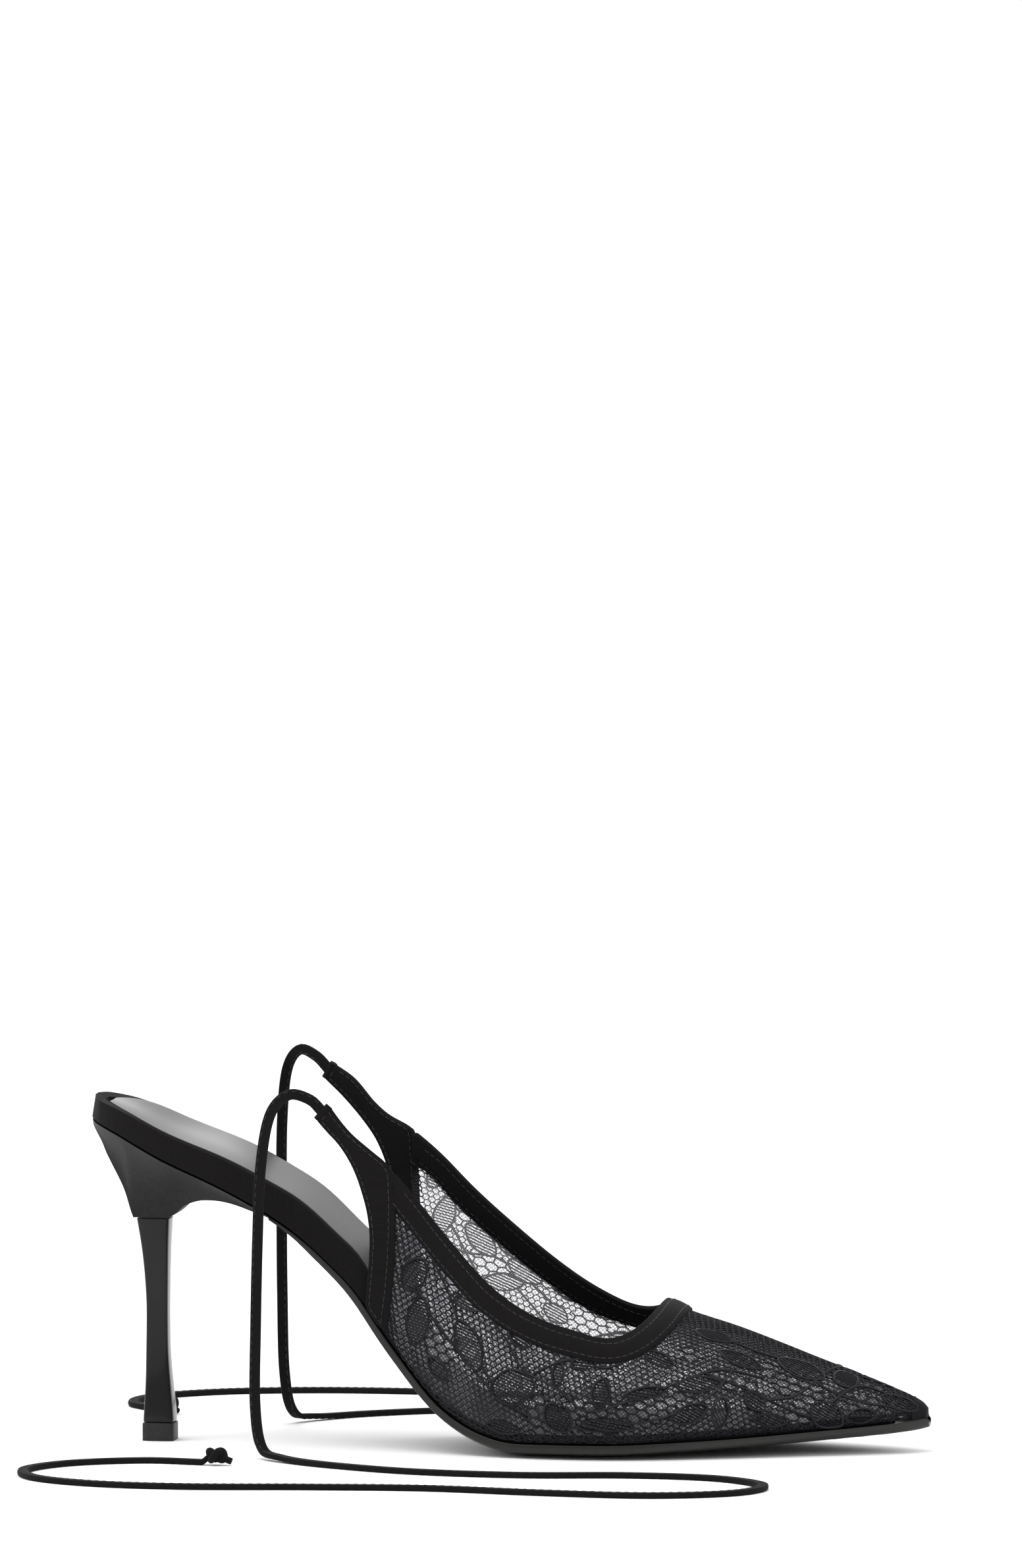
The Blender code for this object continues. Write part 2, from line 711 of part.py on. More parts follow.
def make_upper(finish):
    # One shell over the last: outer and inner faces, both quarters, joined over the vamp's ridge
    rows = 10
    first = band_front_at(OUTER, BAND_STRAIGHT * TOPLINE_HEIGHT) + GAP
    apex = THROAT_FRONT + THROAT_BAND + GAP
    places = spread(first, THROAT_TURN, 12, "none")
    places += spread(THROAT_TURN, apex, 9, "last")[1:]
    open_count = len(places)
    places += spread(apex, along(1.0) - GAP, 18, "last")[1:]
    skins = {}
    for out in (0.0, -LACE_WALL):
        for side in (OUTER, INNER):
            reach = list(places)
            if out < 0:
                reach[-1] = places[-1] - LACE_WALL
            skins[out, side] = lace_points(side, out, reach, 4, rows)
    points, faces, start = [], [], {}
    for key, grid in skins.items():
        start[key] = len(points)
        points += [p for line in grid for p in line]
    count = len(places)

    def at(out, side, i, k):
        return start[out, side] + i * rows + k

    for key in skins:
        for i in range(count - 1):
            for k in range(rows - 1):
                faces.append((at(*key, i, k), at(*key, i + 1, k),
                              at(*key, i + 1, k + 1), at(*key, i, k + 1)))
    face, back = 0.0, -LACE_WALL
    for side in (OUTER, INNER):
        for i in range(count - 1):
            faces.append((at(face, side, i, 0), at(face, side, i + 1, 0),
                          at(back, side, i + 1, 0), at(back, side, i, 0)))
            if i < open_count - 1:
                last = rows - 1
                faces.append((at(face, side, i, last), at(face, side, i + 1, last),
                              at(back, side, i + 1, last), at(back, side, i, last)))
        for k in range(rows - 1):
            faces.append((at(face, side, 0, k), at(face, side, 0, k + 1),
                          at(back, side, 0, k + 1), at(back, side, 0, k)))
    for out in (face, back):
        for k in range(rows - 1):
            faces.append((at(out, OUTER, count - 1, k), at(out, OUTER, count - 1, k + 1),
                          at(out, INNER, count - 1, k + 1), at(out, INNER, count - 1, k)))
    faces.append((at(face, OUTER, count - 1, 0), at(face, INNER, count - 1, 0),
                  at(back, INNER, count - 1, 0), at(back, OUTER, count - 1, 0)))
    return build_mesh("upper", points, faces, finish)


def make_throat_binding(finish):
    # A strip that follows the throat's edge from the outer band to the inner one
    columns = 4
    edge, hem = [], []
    for side, begin in zip((OUTER, INNER), BAND_STARTS):
        upper_line, lower_line = [], []
        behind = spread(along(begin) + 2 * GAP, THROAT_TURN, 13, "none")
        lows = behind + spread(THROAT_TURN, THROAT_FRONT + THROAT_BAND, 10, "last")[1:]
        highs = behind + spread(THROAT_TURN, THROAT_FRONT, 10, "last")[1:]
        for low, high in zip(lows, highs):
            lower_line.append((low, side, throat_turn(low, side, THROAT_BAND)))
            upper_line.append((high, side, throat_turn(high, side, 0.0)))
        if side == INNER:
            upper_line.reverse()
            lower_line.reverse()
            upper_line, lower_line = upper_line[1:], lower_line[1:]
        edge += upper_line
        hem += lower_line
    outside, inside = [], []
    for (x0, side, turn0), (x1, side1, turn1) in zip(hem, edge):
        face, back = [], []
        for k in range(columns + 1):
            t = k / columns
            x, turn = x0 + (x1 - x0) * t, turn0 + (turn1 - turn0) * t
            proud = band_proud(t)
            face.append(on_last(x, side, turn, proud))
            back.append(on_last(x, side, turn, -LACE_WALL - proud))
        outside.append(face)
        inside.append(back)
    return two_skins("throat_binding", outside, inside, finish)


def make_quarter_band(name, side, table, finish):
    columns, count = 4, 26
    outside, inside = [], []
    for i in range(count):
        progress = i / (count - 1)
        rear = band_edge(table, side, progress, False)
        front = band_edge(table, side, progress, True)
        face, back = [], []
        for k in range(columns + 1):
            t = k / columns
            x = rear[0] + (front[0] - rear[0]) * t
            z = rear[1] + (front[1] - rear[1]) * t
            z = max(z, last_section(x)[3])
            turn = turn_at(x, z)
            proud = band_proud(t)
            inward = LACE_WALL + (proud if progress > 0.5 else 0.0)
            face.append(on_last(x, side, turn, proud))
            back.append(on_last(x, side, turn, -inward))
        outside.append(face)
        inside.append(back)
    return two_skins(name, outside, inside, finish)


def make_tie(name, route, finish):
    # A tube along a smooth curve through the route, a point about every two widths
    marks = [Vector(p) for p in route]
    ends = [2 * marks[0] - marks[1]] + marks + [2 * marks[-1] - marks[-2]]
    fine = []
    for k in range(1, len(ends) - 2):
        for t in (0.0, 0.25, 0.5, 0.75):
            a, b, c, d = ends[k - 1:k + 3]
            fine.append(0.5 * (2 * b + (c - a) * t + (2 * a - 5 * b + 4 * c - d) * t ** 2
                               + (3 * b - a - 3 * c + d) * t ** 3))
    fine.append(marks[-1])
    lengths = [0.0]
    for a, b in zip(fine, fine[1:]):
        lengths.append(lengths[-1] + (b - a).length)
    count = 64
    curve = bpy.data.curves.new(name, "CURVE")
    curve.dimensions = "3D"
    curve.bevel_depth = TIE_WIDTH / 2
    curve.bevel_resolution = 2
    curve.use_fill_caps = True
    spline = curve.splines.new("POLY")
    spline.points.add(count - 1)
    for k in range(count):
        goal = lengths[-1] * k / (count - 1)
        i = min(int(np.searchsorted(lengths, goal, side="right")) - 1, len(fine) - 2)
        t = (goal - lengths[i]) / (lengths[i + 1] - lengths[i])
        spline.points[k].co = (*fine[i].lerp(fine[i + 1], t), 1.0)
    piece = bpy.data.objects.new(name, curve)
    bpy.context.scene.collection.objects.link(piece)
    curve.materials.append(finish)
    return piece


def make_tie_knot(name, route, finish):
    # The pulled-tight overhand knot past the end of a tie
    last, before = Vector(route[-1]), Vector(route[-2])
    ahead = (last - before).normalized()
    middle = last + ahead * (KNOT_SIZE / 2 + GAP)
    mesh = bpy.data.meshes.new(name)
    shape = bmesh.new()
    bmesh.ops.create_uvsphere(shape, u_segments=12, v_segments=8, radius=KNOT_SIZE / 2)
    for vert in shape.verts:
        vert.co.y *= KNOT_WIDE
        vert.co.z *= KNOT_HIGH
        vert.co.x *= 1.0 - KNOT_TAPER * vert.co.z / KNOT_SIZE
    shape.to_mesh(mesh)
    shape.free()
    mesh.shade_smooth()
    piece = link(name, mesh, finish)
    piece.rotation_euler = (0, 0, math.atan2(ahead.y, ahead.x))
    piece.location = (middle.x, middle.y, KNOT_HIGH * KNOT_SIZE / 2)
    return piece


def main():
    for old in list(bpy.data.objects):
        bpy.data.objects.remove(old, do_unlink=True)
    faille = material("faille_cloth", (0.011, 0.010, 0.011), 0.85)
    lace = material("lace_cloth", (0.010, 0.010, 0.014), 0.75)
    cover = material("cup_cover", (0.026, 0.026, 0.026), 0.70)
    lacquer = material("stem_lacquer", (0.040, 0.040, 0.042), 0.12)
    rubber = material("lift_rubber", (0.030, 0.030, 0.031), 0.50)
    sole = material("sole_resin", (0.022, 0.020, 0.016), 0.35)
    lining = material("sock_leather", (0.120, 0.118, 0.112), 0.30)
    make_outsole(sole)
    make_footbed(faille)
    make_sock(lining)
    make_heel_cup(cover)
    make_heel_stem(lacquer)
    make_top_lift(rubber)
    make_upper(lace)
    make_throat_binding(faille)
    make_quarter_band("quarter_band_left", OUTER, OUTER_BAND, faille)
    make_quarter_band("quarter_band_right", INNER, INNER_BAND, faille)
    for label, route in (("left", TIE_LEFT_ROUTE), ("right", TIE_RIGHT_ROUTE)):
        make_tie("tie_" + label, route, faille)
        make_tie_knot("tie_knot_" + label, route, faille)


main()
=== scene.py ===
# Pointed slingback pump: floral lace over tulle, cloth bands, two free ties and a lacquered stiletto heel
import math

import bpy
import numpy as np
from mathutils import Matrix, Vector
from mathutils.bvhtree import BVHTree


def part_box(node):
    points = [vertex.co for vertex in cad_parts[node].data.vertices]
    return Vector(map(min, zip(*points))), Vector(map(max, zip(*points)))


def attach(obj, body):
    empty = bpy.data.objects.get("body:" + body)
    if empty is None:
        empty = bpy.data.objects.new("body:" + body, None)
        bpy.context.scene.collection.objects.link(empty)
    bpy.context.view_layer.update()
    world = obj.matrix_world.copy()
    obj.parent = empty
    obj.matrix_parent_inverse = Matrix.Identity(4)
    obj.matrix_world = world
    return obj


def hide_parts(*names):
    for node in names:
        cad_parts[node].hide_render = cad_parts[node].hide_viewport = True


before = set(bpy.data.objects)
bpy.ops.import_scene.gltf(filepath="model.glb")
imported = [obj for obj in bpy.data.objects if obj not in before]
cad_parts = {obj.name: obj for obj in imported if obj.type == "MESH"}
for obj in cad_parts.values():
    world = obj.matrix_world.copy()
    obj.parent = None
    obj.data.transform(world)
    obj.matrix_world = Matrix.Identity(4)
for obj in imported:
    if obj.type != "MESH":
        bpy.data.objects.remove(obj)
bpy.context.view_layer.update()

mm = 0.001
near, far = -1, 1            # the outer side, towards the camera, and the inner side, along Y

# camera, floor and light

cameraSetup = {
    "distance": 6.0,         # m, a long lens as in the photograph
    "azimuth": 9.0,
    "elevation": 4.55,
    "target": (0.0002, 0.0, 0.184365),
    "lens": 497.0,
    "sensor": 36.0,
}


def placeCamera(setup):
    turn, tilt = math.radians(setup["azimuth"]), math.radians(setup["elevation"])
    away = Vector((math.sin(turn) * math.cos(tilt), -math.cos(turn) * math.cos(tilt), math.sin(tilt)))
    place = Vector(setup["target"]) + away * setup["distance"]
    bpy.ops.object.camera_add(location=place, rotation=(math.pi / 2 - tilt, 0, turn))
    camera = bpy.context.object
    camera.data.lens = setup["lens"]
    camera.data.sensor_width = setup["sensor"]
    camera.data.clip_end = 100
    bpy.context.scene.camera = camera


def hexColour(code):
    # sRGB hex to the linear colour that the shader takes
    parts = [int(code[k:k + 2], 16) / 255 for k in (1, 3, 5)]
    return tuple(p / 12.92 if p <= 0.04045 else ((p + 0.055) / 1.055) ** 2.4 for p in parts) + (1.0,)


def addNode(tree, kind, values=None, links=None, **settings):
    # one node with its settings, constant sockets and incoming links
    node = tree.nodes.new(kind)
    for key, value in settings.items():
        setattr(node, key, value)
    for socket, value in (values or {}).items():
        node.inputs[socket].default_value = value
    for socket, source in (links or {}).items():
        tree.links.new(source, node.inputs[socket])
    return node


def newMaterial(name, colour, roughness, **constants):
    material = bpy.data.materials.new(name)
    material.use_nodes = True
    tree = material.node_tree
    shader = tree.nodes["Principled BSDF"]
    shader.inputs["Base Color"].default_value = hexColour(colour)
    shader.inputs["Roughness"].default_value = roughness
    for socket, value in constants.items():
        shader.inputs[socket.replace("_", " ")].default_value = value
    return material, tree, shader


lightSetup = {
    "sky": "#ffffff",
    "overhead": 1.12,
    "horizon": 0.38,         # dimmer low down, so that grazing faces don't wash out
    "full": -0.55,           # incoming Z from which the sky has its full strength
    "lamps": (
        # name, place, size, power, all aimed at the shoe
        ("softboxTop", (-0.6, -0.5, 2.6), 2.2, 34.0),
        ("softboxLeft", (-2.4, -1.6, 1.2), 1.4, 14.0),
        ("softboxRight", (2.2, -1.9, 1.6), 1.2, 9.0),
        ("softboxBack", (-0.8, 2.6, 1.5), 1.6, 16.0),
    ),
    "aim": (0.0, 0.0, 0.06),
}


def placeLights(setup):
    world = bpy.data.worlds.new("studio")
    world.use_nodes = True
    tree = world.node_tree
    background = tree.nodes["Background"]
    background.inputs["Color"].default_value = hexColour(setup["sky"])
    direction = addNode(tree, "ShaderNodeNewGeometry")
    parts = addNode(tree, "ShaderNodeSeparateXYZ", links={0: direction.outputs["Incoming"]})
    glow = addNode(tree, "ShaderNodeMapRange",
                   {"From Max": setup["full"], "To Min": setup["horizon"], "To Max": setup["overhead"]},
                   {"Value": parts.outputs["Z"]})
    tree.links.new(glow.outputs["Result"], background.inputs["Strength"])
    bpy.context.scene.world = world
    bpy.context.scene.view_settings.view_transform = "Standard"   # plain sRGB, as a product photograph
    for name, place, size, power in setup["lamps"]:
        bpy.ops.object.light_add(type="AREA", location=place)
        lamp = bpy.context.object
        lamp.name = name
        lamp.data.size = size
        lamp.data.energy = power
        lamp.rotation_euler = (Vector(setup["aim"]) - lamp.location).to_track_quat("-Z", "Y").to_euler()


floorSetup = {"size": 60.0, "place": (0.0, 14.0, 0.0)}       # m; it reaches far behind the shoe


def makeFloor(setup):
    bpy.ops.mesh.primitive_plane_add(size=setup["size"], location=setup["place"])
    floor = bpy.context.object
    floor.name = "studioFloor"
    material, tree, shader = newMaterial("paintedBoard", "#fcfcfc", 0.9, Specular_IOR_Level=0.0)
    floor.data.materials.append(material)


bpy.ops.object.select_all(action="DESELECT")
placeCamera(cameraSetup)
placeLights(lightSetup)
makeFloor(floorSetup)
print("camera, light and floor")

# materials


def tintBetween(tree, shader, factor, low, high, start, end):
    ramp = addNode(tree, "ShaderNodeValToRGB", links={"Fac": factor})
    ramp.color_ramp.elements[0].color = hexColour(low)
    ramp.color_ramp.elements[0].position = start
    ramp.color_ramp.elements[1].color = hexColour(high)
    ramp.color_ramp.elements[1].position = end
    tree.links.new(ramp.outputs["Color"], shader.inputs["Base Color"])


def addGrain(tree, shader, scale, detail, tint, bump=None):
    # fine unevenness, its scale in grains a metre: tints the colour and, given strength and depth, raises it
    place = addNode(tree, "ShaderNodeTexCoord").outputs["Object"]
    noise = addNode(tree, "ShaderNodeTexNoise", {"Scale": scale, "Detail": detail}, {"Vector": place})
    grain = noise.outputs["Fac"]
    tintBetween(tree, shader, grain, *tint)
    if bump:
        strength, depth = bump
        raised = addNode(tree, "ShaderNodeBump", {"Strength": strength, "Distance": depth}, {"Height": grain})
        tree.links.new(raised.outputs["Normal"], shader.inputs["Normal"])
    return place, grain


def makeFaille():
    # viscose faille: black, matt, with fine cross ribs; real ribs are 0.3 mm, drawn at 0.45 mm to show
    material, tree, shader = newMaterial("blackFaille", "#110f10", 0.82, Sheen_Weight=0.02,
                                         Sheen_Roughness=0.5, Specular_IOR_Level=0.08)
    pitch = 0.45 * mm
    place = addNode(tree, "ShaderNodeTexCoord").outputs["UV"]
    ribs = addNode(tree, "ShaderNodeTexWave",
                   {"Scale": math.pi / (10 * pitch), "Distortion": 0.6, "Detail": 2.0, "Detail Scale": 2.0},
                   {"Vector": place}, wave_type="BANDS", bands_direction="X")
    slub = addNode(tree, "ShaderNodeTexNoise", {"Scale": 900.0, "Detail": 3.0}, {"Vector": place})
    both = addNode(tree, "ShaderNodeMath", links={0: ribs.outputs["Fac"], 1: slub.outputs["Fac"]},
                   operation="ADD").outputs[0]
    bump = addNode(tree, "ShaderNodeBump", {"Strength": 0.4, "Distance": 0.05 * mm}, {"Height": both})
    tree.links.new(bump.outputs["Normal"], shader.inputs["Normal"])
    tintBetween(tree, shader, both, "#0b0a0a", "#161415", 0.5, 1.0)
    return material


def makeLaceThread():
    # twisted nylon and cotton: near black with a faint blue cast and small glints
    material, tree, shader = newMaterial("laceThread", "#121216", 0.48, Sheen_Weight=0.02,
                                         Sheen_Roughness=0.4, Specular_IOR_Level=0.2)
    place, fleck = addGrain(tree, shader, 1400.0, 2.0, ("#0a0a0d", "#1b1b20", 0.35, 0.7))
    rough = addNode(tree, "ShaderNodeMapRange",
                    {"From Min": 0.3, "From Max": 0.7, "To Min": 0.32, "To Max": 0.62}, {"Value": fleck})
    tree.links.new(rough.outputs["Result"], shader.inputs["Roughness"])
    return material


def makeTulle():
    # fine nylon tulle: smoky dark thread that lights up a little where it lies slack
    material, tree, shader = newMaterial("smokyTulle", "#34343a", 0.45, Sheen_Weight=0.03,
                                         Specular_IOR_Level=0.3)
    addGrain(tree, shader, 220.0, 2.0, ("#28282d", "#404047", 0.35, 0.65))
    return material


def makeLining():
    # the finest tulle, grey nylon that scatters the light; real meshes of 0.3 mm are drawn at 0.42 mm to show
    material, tree, shader = newMaterial("greyLiningTulle", "#98989e", 0.55, Specular_IOR_Level=0.25)
    place = addNode(tree, "ShaderNodeTexCoord").outputs["Object"]
    slack = addNode(tree, "ShaderNodeTexNoise", {"Scale": 160.0, "Detail": 3.0}, {"Vector": place})
    # painted shade: the lining is tinted darker towards the sole and lighter higher up the wall
    rise = addNode(tree, "ShaderNodeVectorMath", {1: (0.11, 0.0, 1.0)}, {0: place}, operation="DOT_PRODUCT")
    paintedShadeByHeight = addNode(tree, "ShaderNodeMapRange",
                  {"From Min": 14 * mm, "From Max": 30 * mm, "To Min": 0.0, "To Max": 0.75},
                  {"Value": rise.outputs["Value"]})
    both = addNode(tree, "ShaderNodeMath", links={0: slack.outputs["Fac"], 1: paintedShadeByHeight.outputs["Result"]},
                   operation="ADD")
    tintBetween(tree, shader, both.outputs[0], "#38383e", "#d2d2d8", 0.4, 1.0)
    return material


def makeBacking():
    # the lace's margin turned under and stuck down: dense, dull black
    material, tree, shader = newMaterial("turnedMargin", "#151518", 0.8, Specular_IOR_Level=0.15)
    addGrain(tree, shader, 1100.0, 3.0, ("#0a0a0c", "#161619", 0.3, 0.75), (0.5, 0.1 * mm))
    return material


def makeSockLeather():
    # coated sheep leather: steel grey, glossy, with a fine close grain
    material, tree, shader = newMaterial("greySockLeather", "#4c4c4b", 0.34, Coat_Weight=0.15,
                                         Coat_Roughness=0.2)
    place, cloud = addGrain(tree, shader, 30.0, 3.0, ("#3a3a39", "#474746", 0.35, 0.7))
    grain = addNode(tree, "ShaderNodeTexVoronoi", {"Scale": 1500.0}, {"Vector": place})
    bump = addNode(tree, "ShaderNodeBump", {"Strength": 0.12, "Distance": 0.05 * mm},
                   {"Height": grain.outputs["Distance"]})
    tree.links.new(bump.outputs["Normal"], shader.inputs["Normal"])
    return material


def makeCupCover():
    # thin kid leather over the heel block: matt, dark grey
    material, tree, shader = newMaterial("greyKidCover", "#1a1a1a", 0.62, Specular_IOR_Level=0.2)
    addGrain(tree, shader, 700.0, 4.0, ("#161616", "#1f1f1f", 0.3, 0.7), (0.15, 0.06 * mm))
    return material


def makeLacquer():
    # sprayed and polished lacquer on ABS: deep grey with a clear coat
    material, tree, shader = newMaterial("polishedLacquer", "#151517", 0.22, Coat_Weight=0.15,
                                         Coat_Roughness=0.05, Specular_IOR_Level=0.15)
    place, depth = addGrain(tree, shader, 45.0, 1.0, ("#121214", "#1a1a1c", 0.35, 0.65))
    peel = addNode(tree, "ShaderNodeTexNoise", {"Scale": 260.0, "Detail": 1.0}, {"Vector": place})
    bump = addNode(tree, "ShaderNodeBump", {"Strength": 0.03, "Distance": 0.05 * mm},
                   {"Height": peel.outputs["Fac"]})
    tree.links.new(bump.outputs["Normal"], shader.inputs["Coat Normal"])
    return material


def makeLiftRubber():
    # moulded polyurethane: satin dark grey
    material, tree, shader = newMaterial("mouldedTopPiece", "#1d1d1d", 0.45, Specular_IOR_Level=0.3)
    addGrain(tree, shader, 900.0, 2.0, ("#191919", "#222222", 0.3, 0.7), (0.1, 0.05 * mm))
    return material


def makeSoleLeather():
    # sole leather with an inked, waxed edge: very dark brown, half glossy
    material, tree, shader = newMaterial("inkedSoleLeather", "#1b1915", 0.36, Specular_IOR_Level=0.3,
                                         Coat_Weight=0.2, Coat_Roughness=0.12)
    addGrain(tree, shader, 420.0, 4.0, ("#0d0c0a", "#141311", 0.3, 0.7), (0.15, 0.08 * mm))
    return material


def makeStitchThread():
    # waxed polyester sewing thread, a shade lighter than the cloth
    material, tree, shader = newMaterial("sewingThread", "#454345", 0.5, Specular_IOR_Level=0.3)
    addGrain(tree, shader, 1600.0, 1.0, ("#201f20", "#343234", 0.35, 0.65))
    return material


finish = {
    "faille": makeFaille(),
    "lace": makeLaceThread(),
    "tulle": makeTulle(),
    "lining": makeLining(),
    "backing": makeBacking(),
    "sock": makeSockLeather(),
    "cup": makeCupCover(),
    "lacquer": makeLacquer(),
    "lift": makeLiftRubber(),
    "sole": makeSoleLeather(),
    "stitch": makeStitchThread(),
}
print("materials")

# shared ways with meshes and lines


def selectOnly(piece):
    bpy.ops.object.select_all(action="DESELECT")
    piece.select_set(True)
    bpy.context.view_layer.objects.active = piece


def applyModifier(piece, kind, **settings):
    selectOnly(piece)
    bpy.ops.object.modifier_add(type=kind)
    modifier = piece.modifiers[-1]
    for key, value in settings.items():
        setattr(modifier, key, value)
    bpy.ops.object.modifier_apply(modifier=modifier.name)


def placePiece(pieceName, data):
    piece = bpy.data.objects.new(pieceName, data)
    bpy.context.scene.collection.objects.link(piece)
    selectOnly(piece)
    return piece


def editWhole(piece, operator, **settings):
    # one edit mode operator on the whole mesh
    selectOnly(piece)
    bpy.ops.object.mode_set(mode="EDIT")
    bpy.ops.mesh.select_all(action="SELECT")
    operator(**settings)
    bpy.ops.object.mode_set(mode="OBJECT")


def cornersOf(piece):
    return np.array([v.co for v in piece.data.vertices])


def moveCorners(piece, corners):
    piece.data.vertices.foreach_set("co", corners.ravel())
    piece.data.update()


def lengthAlong(points):
    # how far along a line each of its points lies
    return np.concatenate([[0], np.cumsum(np.linalg.norm(np.diff(points, axis=0), axis=1))])


def unit(rows):
    return rows / np.linalg.norm(rows, axis=1)[:, None]


def evenly(points, spacing):
    # points at even spacing along a line; columns past the third are carried along
    points = np.array(points)
    runs = lengthAlong(points[:, :3])
    goals = np.linspace(0, runs[-1], max(2, int(runs[-1] / spacing) + 1))
    return np.stack([np.interp(goals, runs, column) for column in points.T], axis=1)


def mapCloth(piece, along, across):
    # UV map in metres, from two values for each corner
    layer = piece.data.uv_layers.new(name="cloth")
    for loop in piece.data.loops:
        layer.data[loop.index].uv = (along[loop.vertex_index], across[loop.vertex_index])


def mapAround(piece):
    # for a piece that is seen from its sides: round it and up
    x, y, z = cornersOf(piece).T
    mapCloth(piece, x + 0.9 * np.abs(y), z)


def treeOf(piece):
    return BVHTree.FromPolygons([v.co for v in piece.data.vertices],
                                [p.vertices[:] for p in piece.data.polygons])


nodeSetup = {
    "merge": 0.02 * mm,
    "flat": math.radians(50),        # two triangles this close to one plane become a quad
    "smooth": math.radians(50),      # faces that meet at less than this are shaded as one
}


def copyNode(nodeName, pieceName, sharp=45, bevel=0.0, levels=1):
    # a merged quad copy of a node, its sharp edges bevelled or creased, then subdivided
    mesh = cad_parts[nodeName].data.copy()
    mesh.name = pieceName
    mesh.materials.clear()
    piece = placePiece(pieceName, mesh)
    bpy.ops.object.mode_set(mode="EDIT")
    bpy.ops.mesh.select_mode(type="EDGE")
    bpy.ops.mesh.select_all(action="SELECT")
    bpy.ops.mesh.remove_doubles(threshold=nodeSetup["merge"])
    bpy.ops.mesh.tris_convert_to_quads(face_threshold=nodeSetup["flat"], shape_threshold=nodeSetup["flat"])
    bpy.ops.mesh.normals_make_consistent(inside=False)
    bpy.ops.mesh.select_all(action="DESELECT")
    bpy.ops.mesh.edges_select_sharp(sharpness=math.radians(sharp))
    if bevel:
        bpy.ops.mesh.bevel(offset=bevel, segments=2, profile=0.6, clamp_overlap=True)
    else:
        bpy.ops.transform.edge_crease(value=1.0)
    bpy.ops.object.mode_set(mode="OBJECT")
    applyModifier(piece, "SUBSURF", levels=levels, render_levels=levels)
    return piece


def finishPiece(piece, material, slotName, *nodes):
    piece.data.materials.clear()
    piece.data.materials.append(finish[material])
    selectOnly(piece)
    bpy.ops.object.shade_smooth_by_angle(angle=nodeSetup["smooth"])
    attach(piece, "root")
    if nodes:
        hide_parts(*nodes)
    return piece


# solid pieces, each worked up from the frame's own node

solidPieces = (
    # node, piece, material, slot, sharp angle, bevel in mm, subdivision levels
    ("outsole", "soleLeather", "sole", "sole_resin", 50, 0.25, 1),
    ("footbed", "footbedCover", "faille", "faille", 40, 0.35, 1),
    ("sock", "sockLining", "sock", "sock_leather", 50, 0.22, 1),
    ("heel_cup", "heelCup", "cup", "cup_cover", 50, 0.3, 2),
    ("heel_stem", "heelStem", "lacquer", "stem_lacquer", 60, 0.15, 2),
    ("top_lift", "topPiece", "lift", "lift_rubber", 60, 0.25, 2),
)
# the rear of the sole runs out thin and a little further up the heel's breast
soleEnd = {"over": 11 * mm, "thin": 0.12, "longer": 1.2 * mm, "climb": 0.42}


def feather(piece, setup):
    # thins the rear end from below, towards its upper face
    tree = treeOf(piece)
    rear = cornersOf(piece)[:, 0].min()
    above = Vector((0.05 * mm, 0, 30 * mm))
    for vert in piece.data.vertices:
        share = (vert.co.x - rear) / setup["over"]
        if share < 1:
            top = tree.ray_cast(vert.co + above, Vector((0, 0, -1)))[0]
            if top is not None:
                vert.co.z = top.z - (top.z - vert.co.z) * (setup["thin"] + (1 - setup["thin"]) * share)
            longer = setup["longer"] * (1 - share)
            vert.co.x -= longer
            vert.co.z += setup["climb"] * longer


def makeSolids(rows):
    for nodeName, pieceName, material, slotName, sharp, bevel, levels in rows:
        piece = copyNode(nodeName, pieceName, sharp, bevel * mm, levels)
        if material == "faille":
            mapAround(piece)
        if material == "sole":
            feather(piece, soleEnd)
        finishPiece(piece, material, slotName, nodeName)


makeSolids(solidPieces)
print("sole, footbed, sock and heel")

# the lace's surface, measured from the upper's node

laceSurface = {
    "first": -28.8 * mm,     # first full section, just ahead of the quarters' bands
    "last": 116.4 * mm,
    "threadEnd": 115.8 * mm,         # the threads stop just short of the last section
    "toe": 113.0 * mm,       # the tip ahead of this is stiffened, and both tulles end in it
    "step": 1.0 * mm,
    "rays": 80,
    "rows": 60,
    "joined": 50.0 * mm,     # x from which the two sides meet over the ridge
    "tuck": 0.8 * mm,        # how far the threads run under the bands
    "slab": 1.6 * mm,        # corners this close to a section give its middle and height
    "eye": 0.4,              # share of that height from which the rays look out
    "turn": math.radians(2),         # step of the search for the wall's edges
    "halvings": 12,
    "likeOuter": (25 * mm, 50 * mm),     # x over which the inner side's pattern becomes the outer side's
}


def outermost(tree, origin, side, angle):
    # the last surface met by a ray from inside the shoe, at an angle up from the horizontal
    direction = Vector((0, side * math.cos(angle), math.sin(angle)))
    reached, start = None, origin
    for _ in range(4):
        hit = tree.ray_cast(start, direction)[0]
        if hit is None:
            return reached
        reached = hit
        start = hit + direction * 0.02 * mm
    return reached


def findEdge(tree, origin, side, turn, halvings):
    # the last angle at which the wall is met, found in steps and then by halving
    outside = 0.0
    while abs(outside) < math.pi / 2 and outermost(tree, origin, side, outside):
        outside += turn
    inside = outside - turn
    for _ in range(halvings):
        middle = (inside + outside) / 2
        if outermost(tree, origin, side, middle) is None:
            outside = middle
        else:
            inside = middle
    return inside


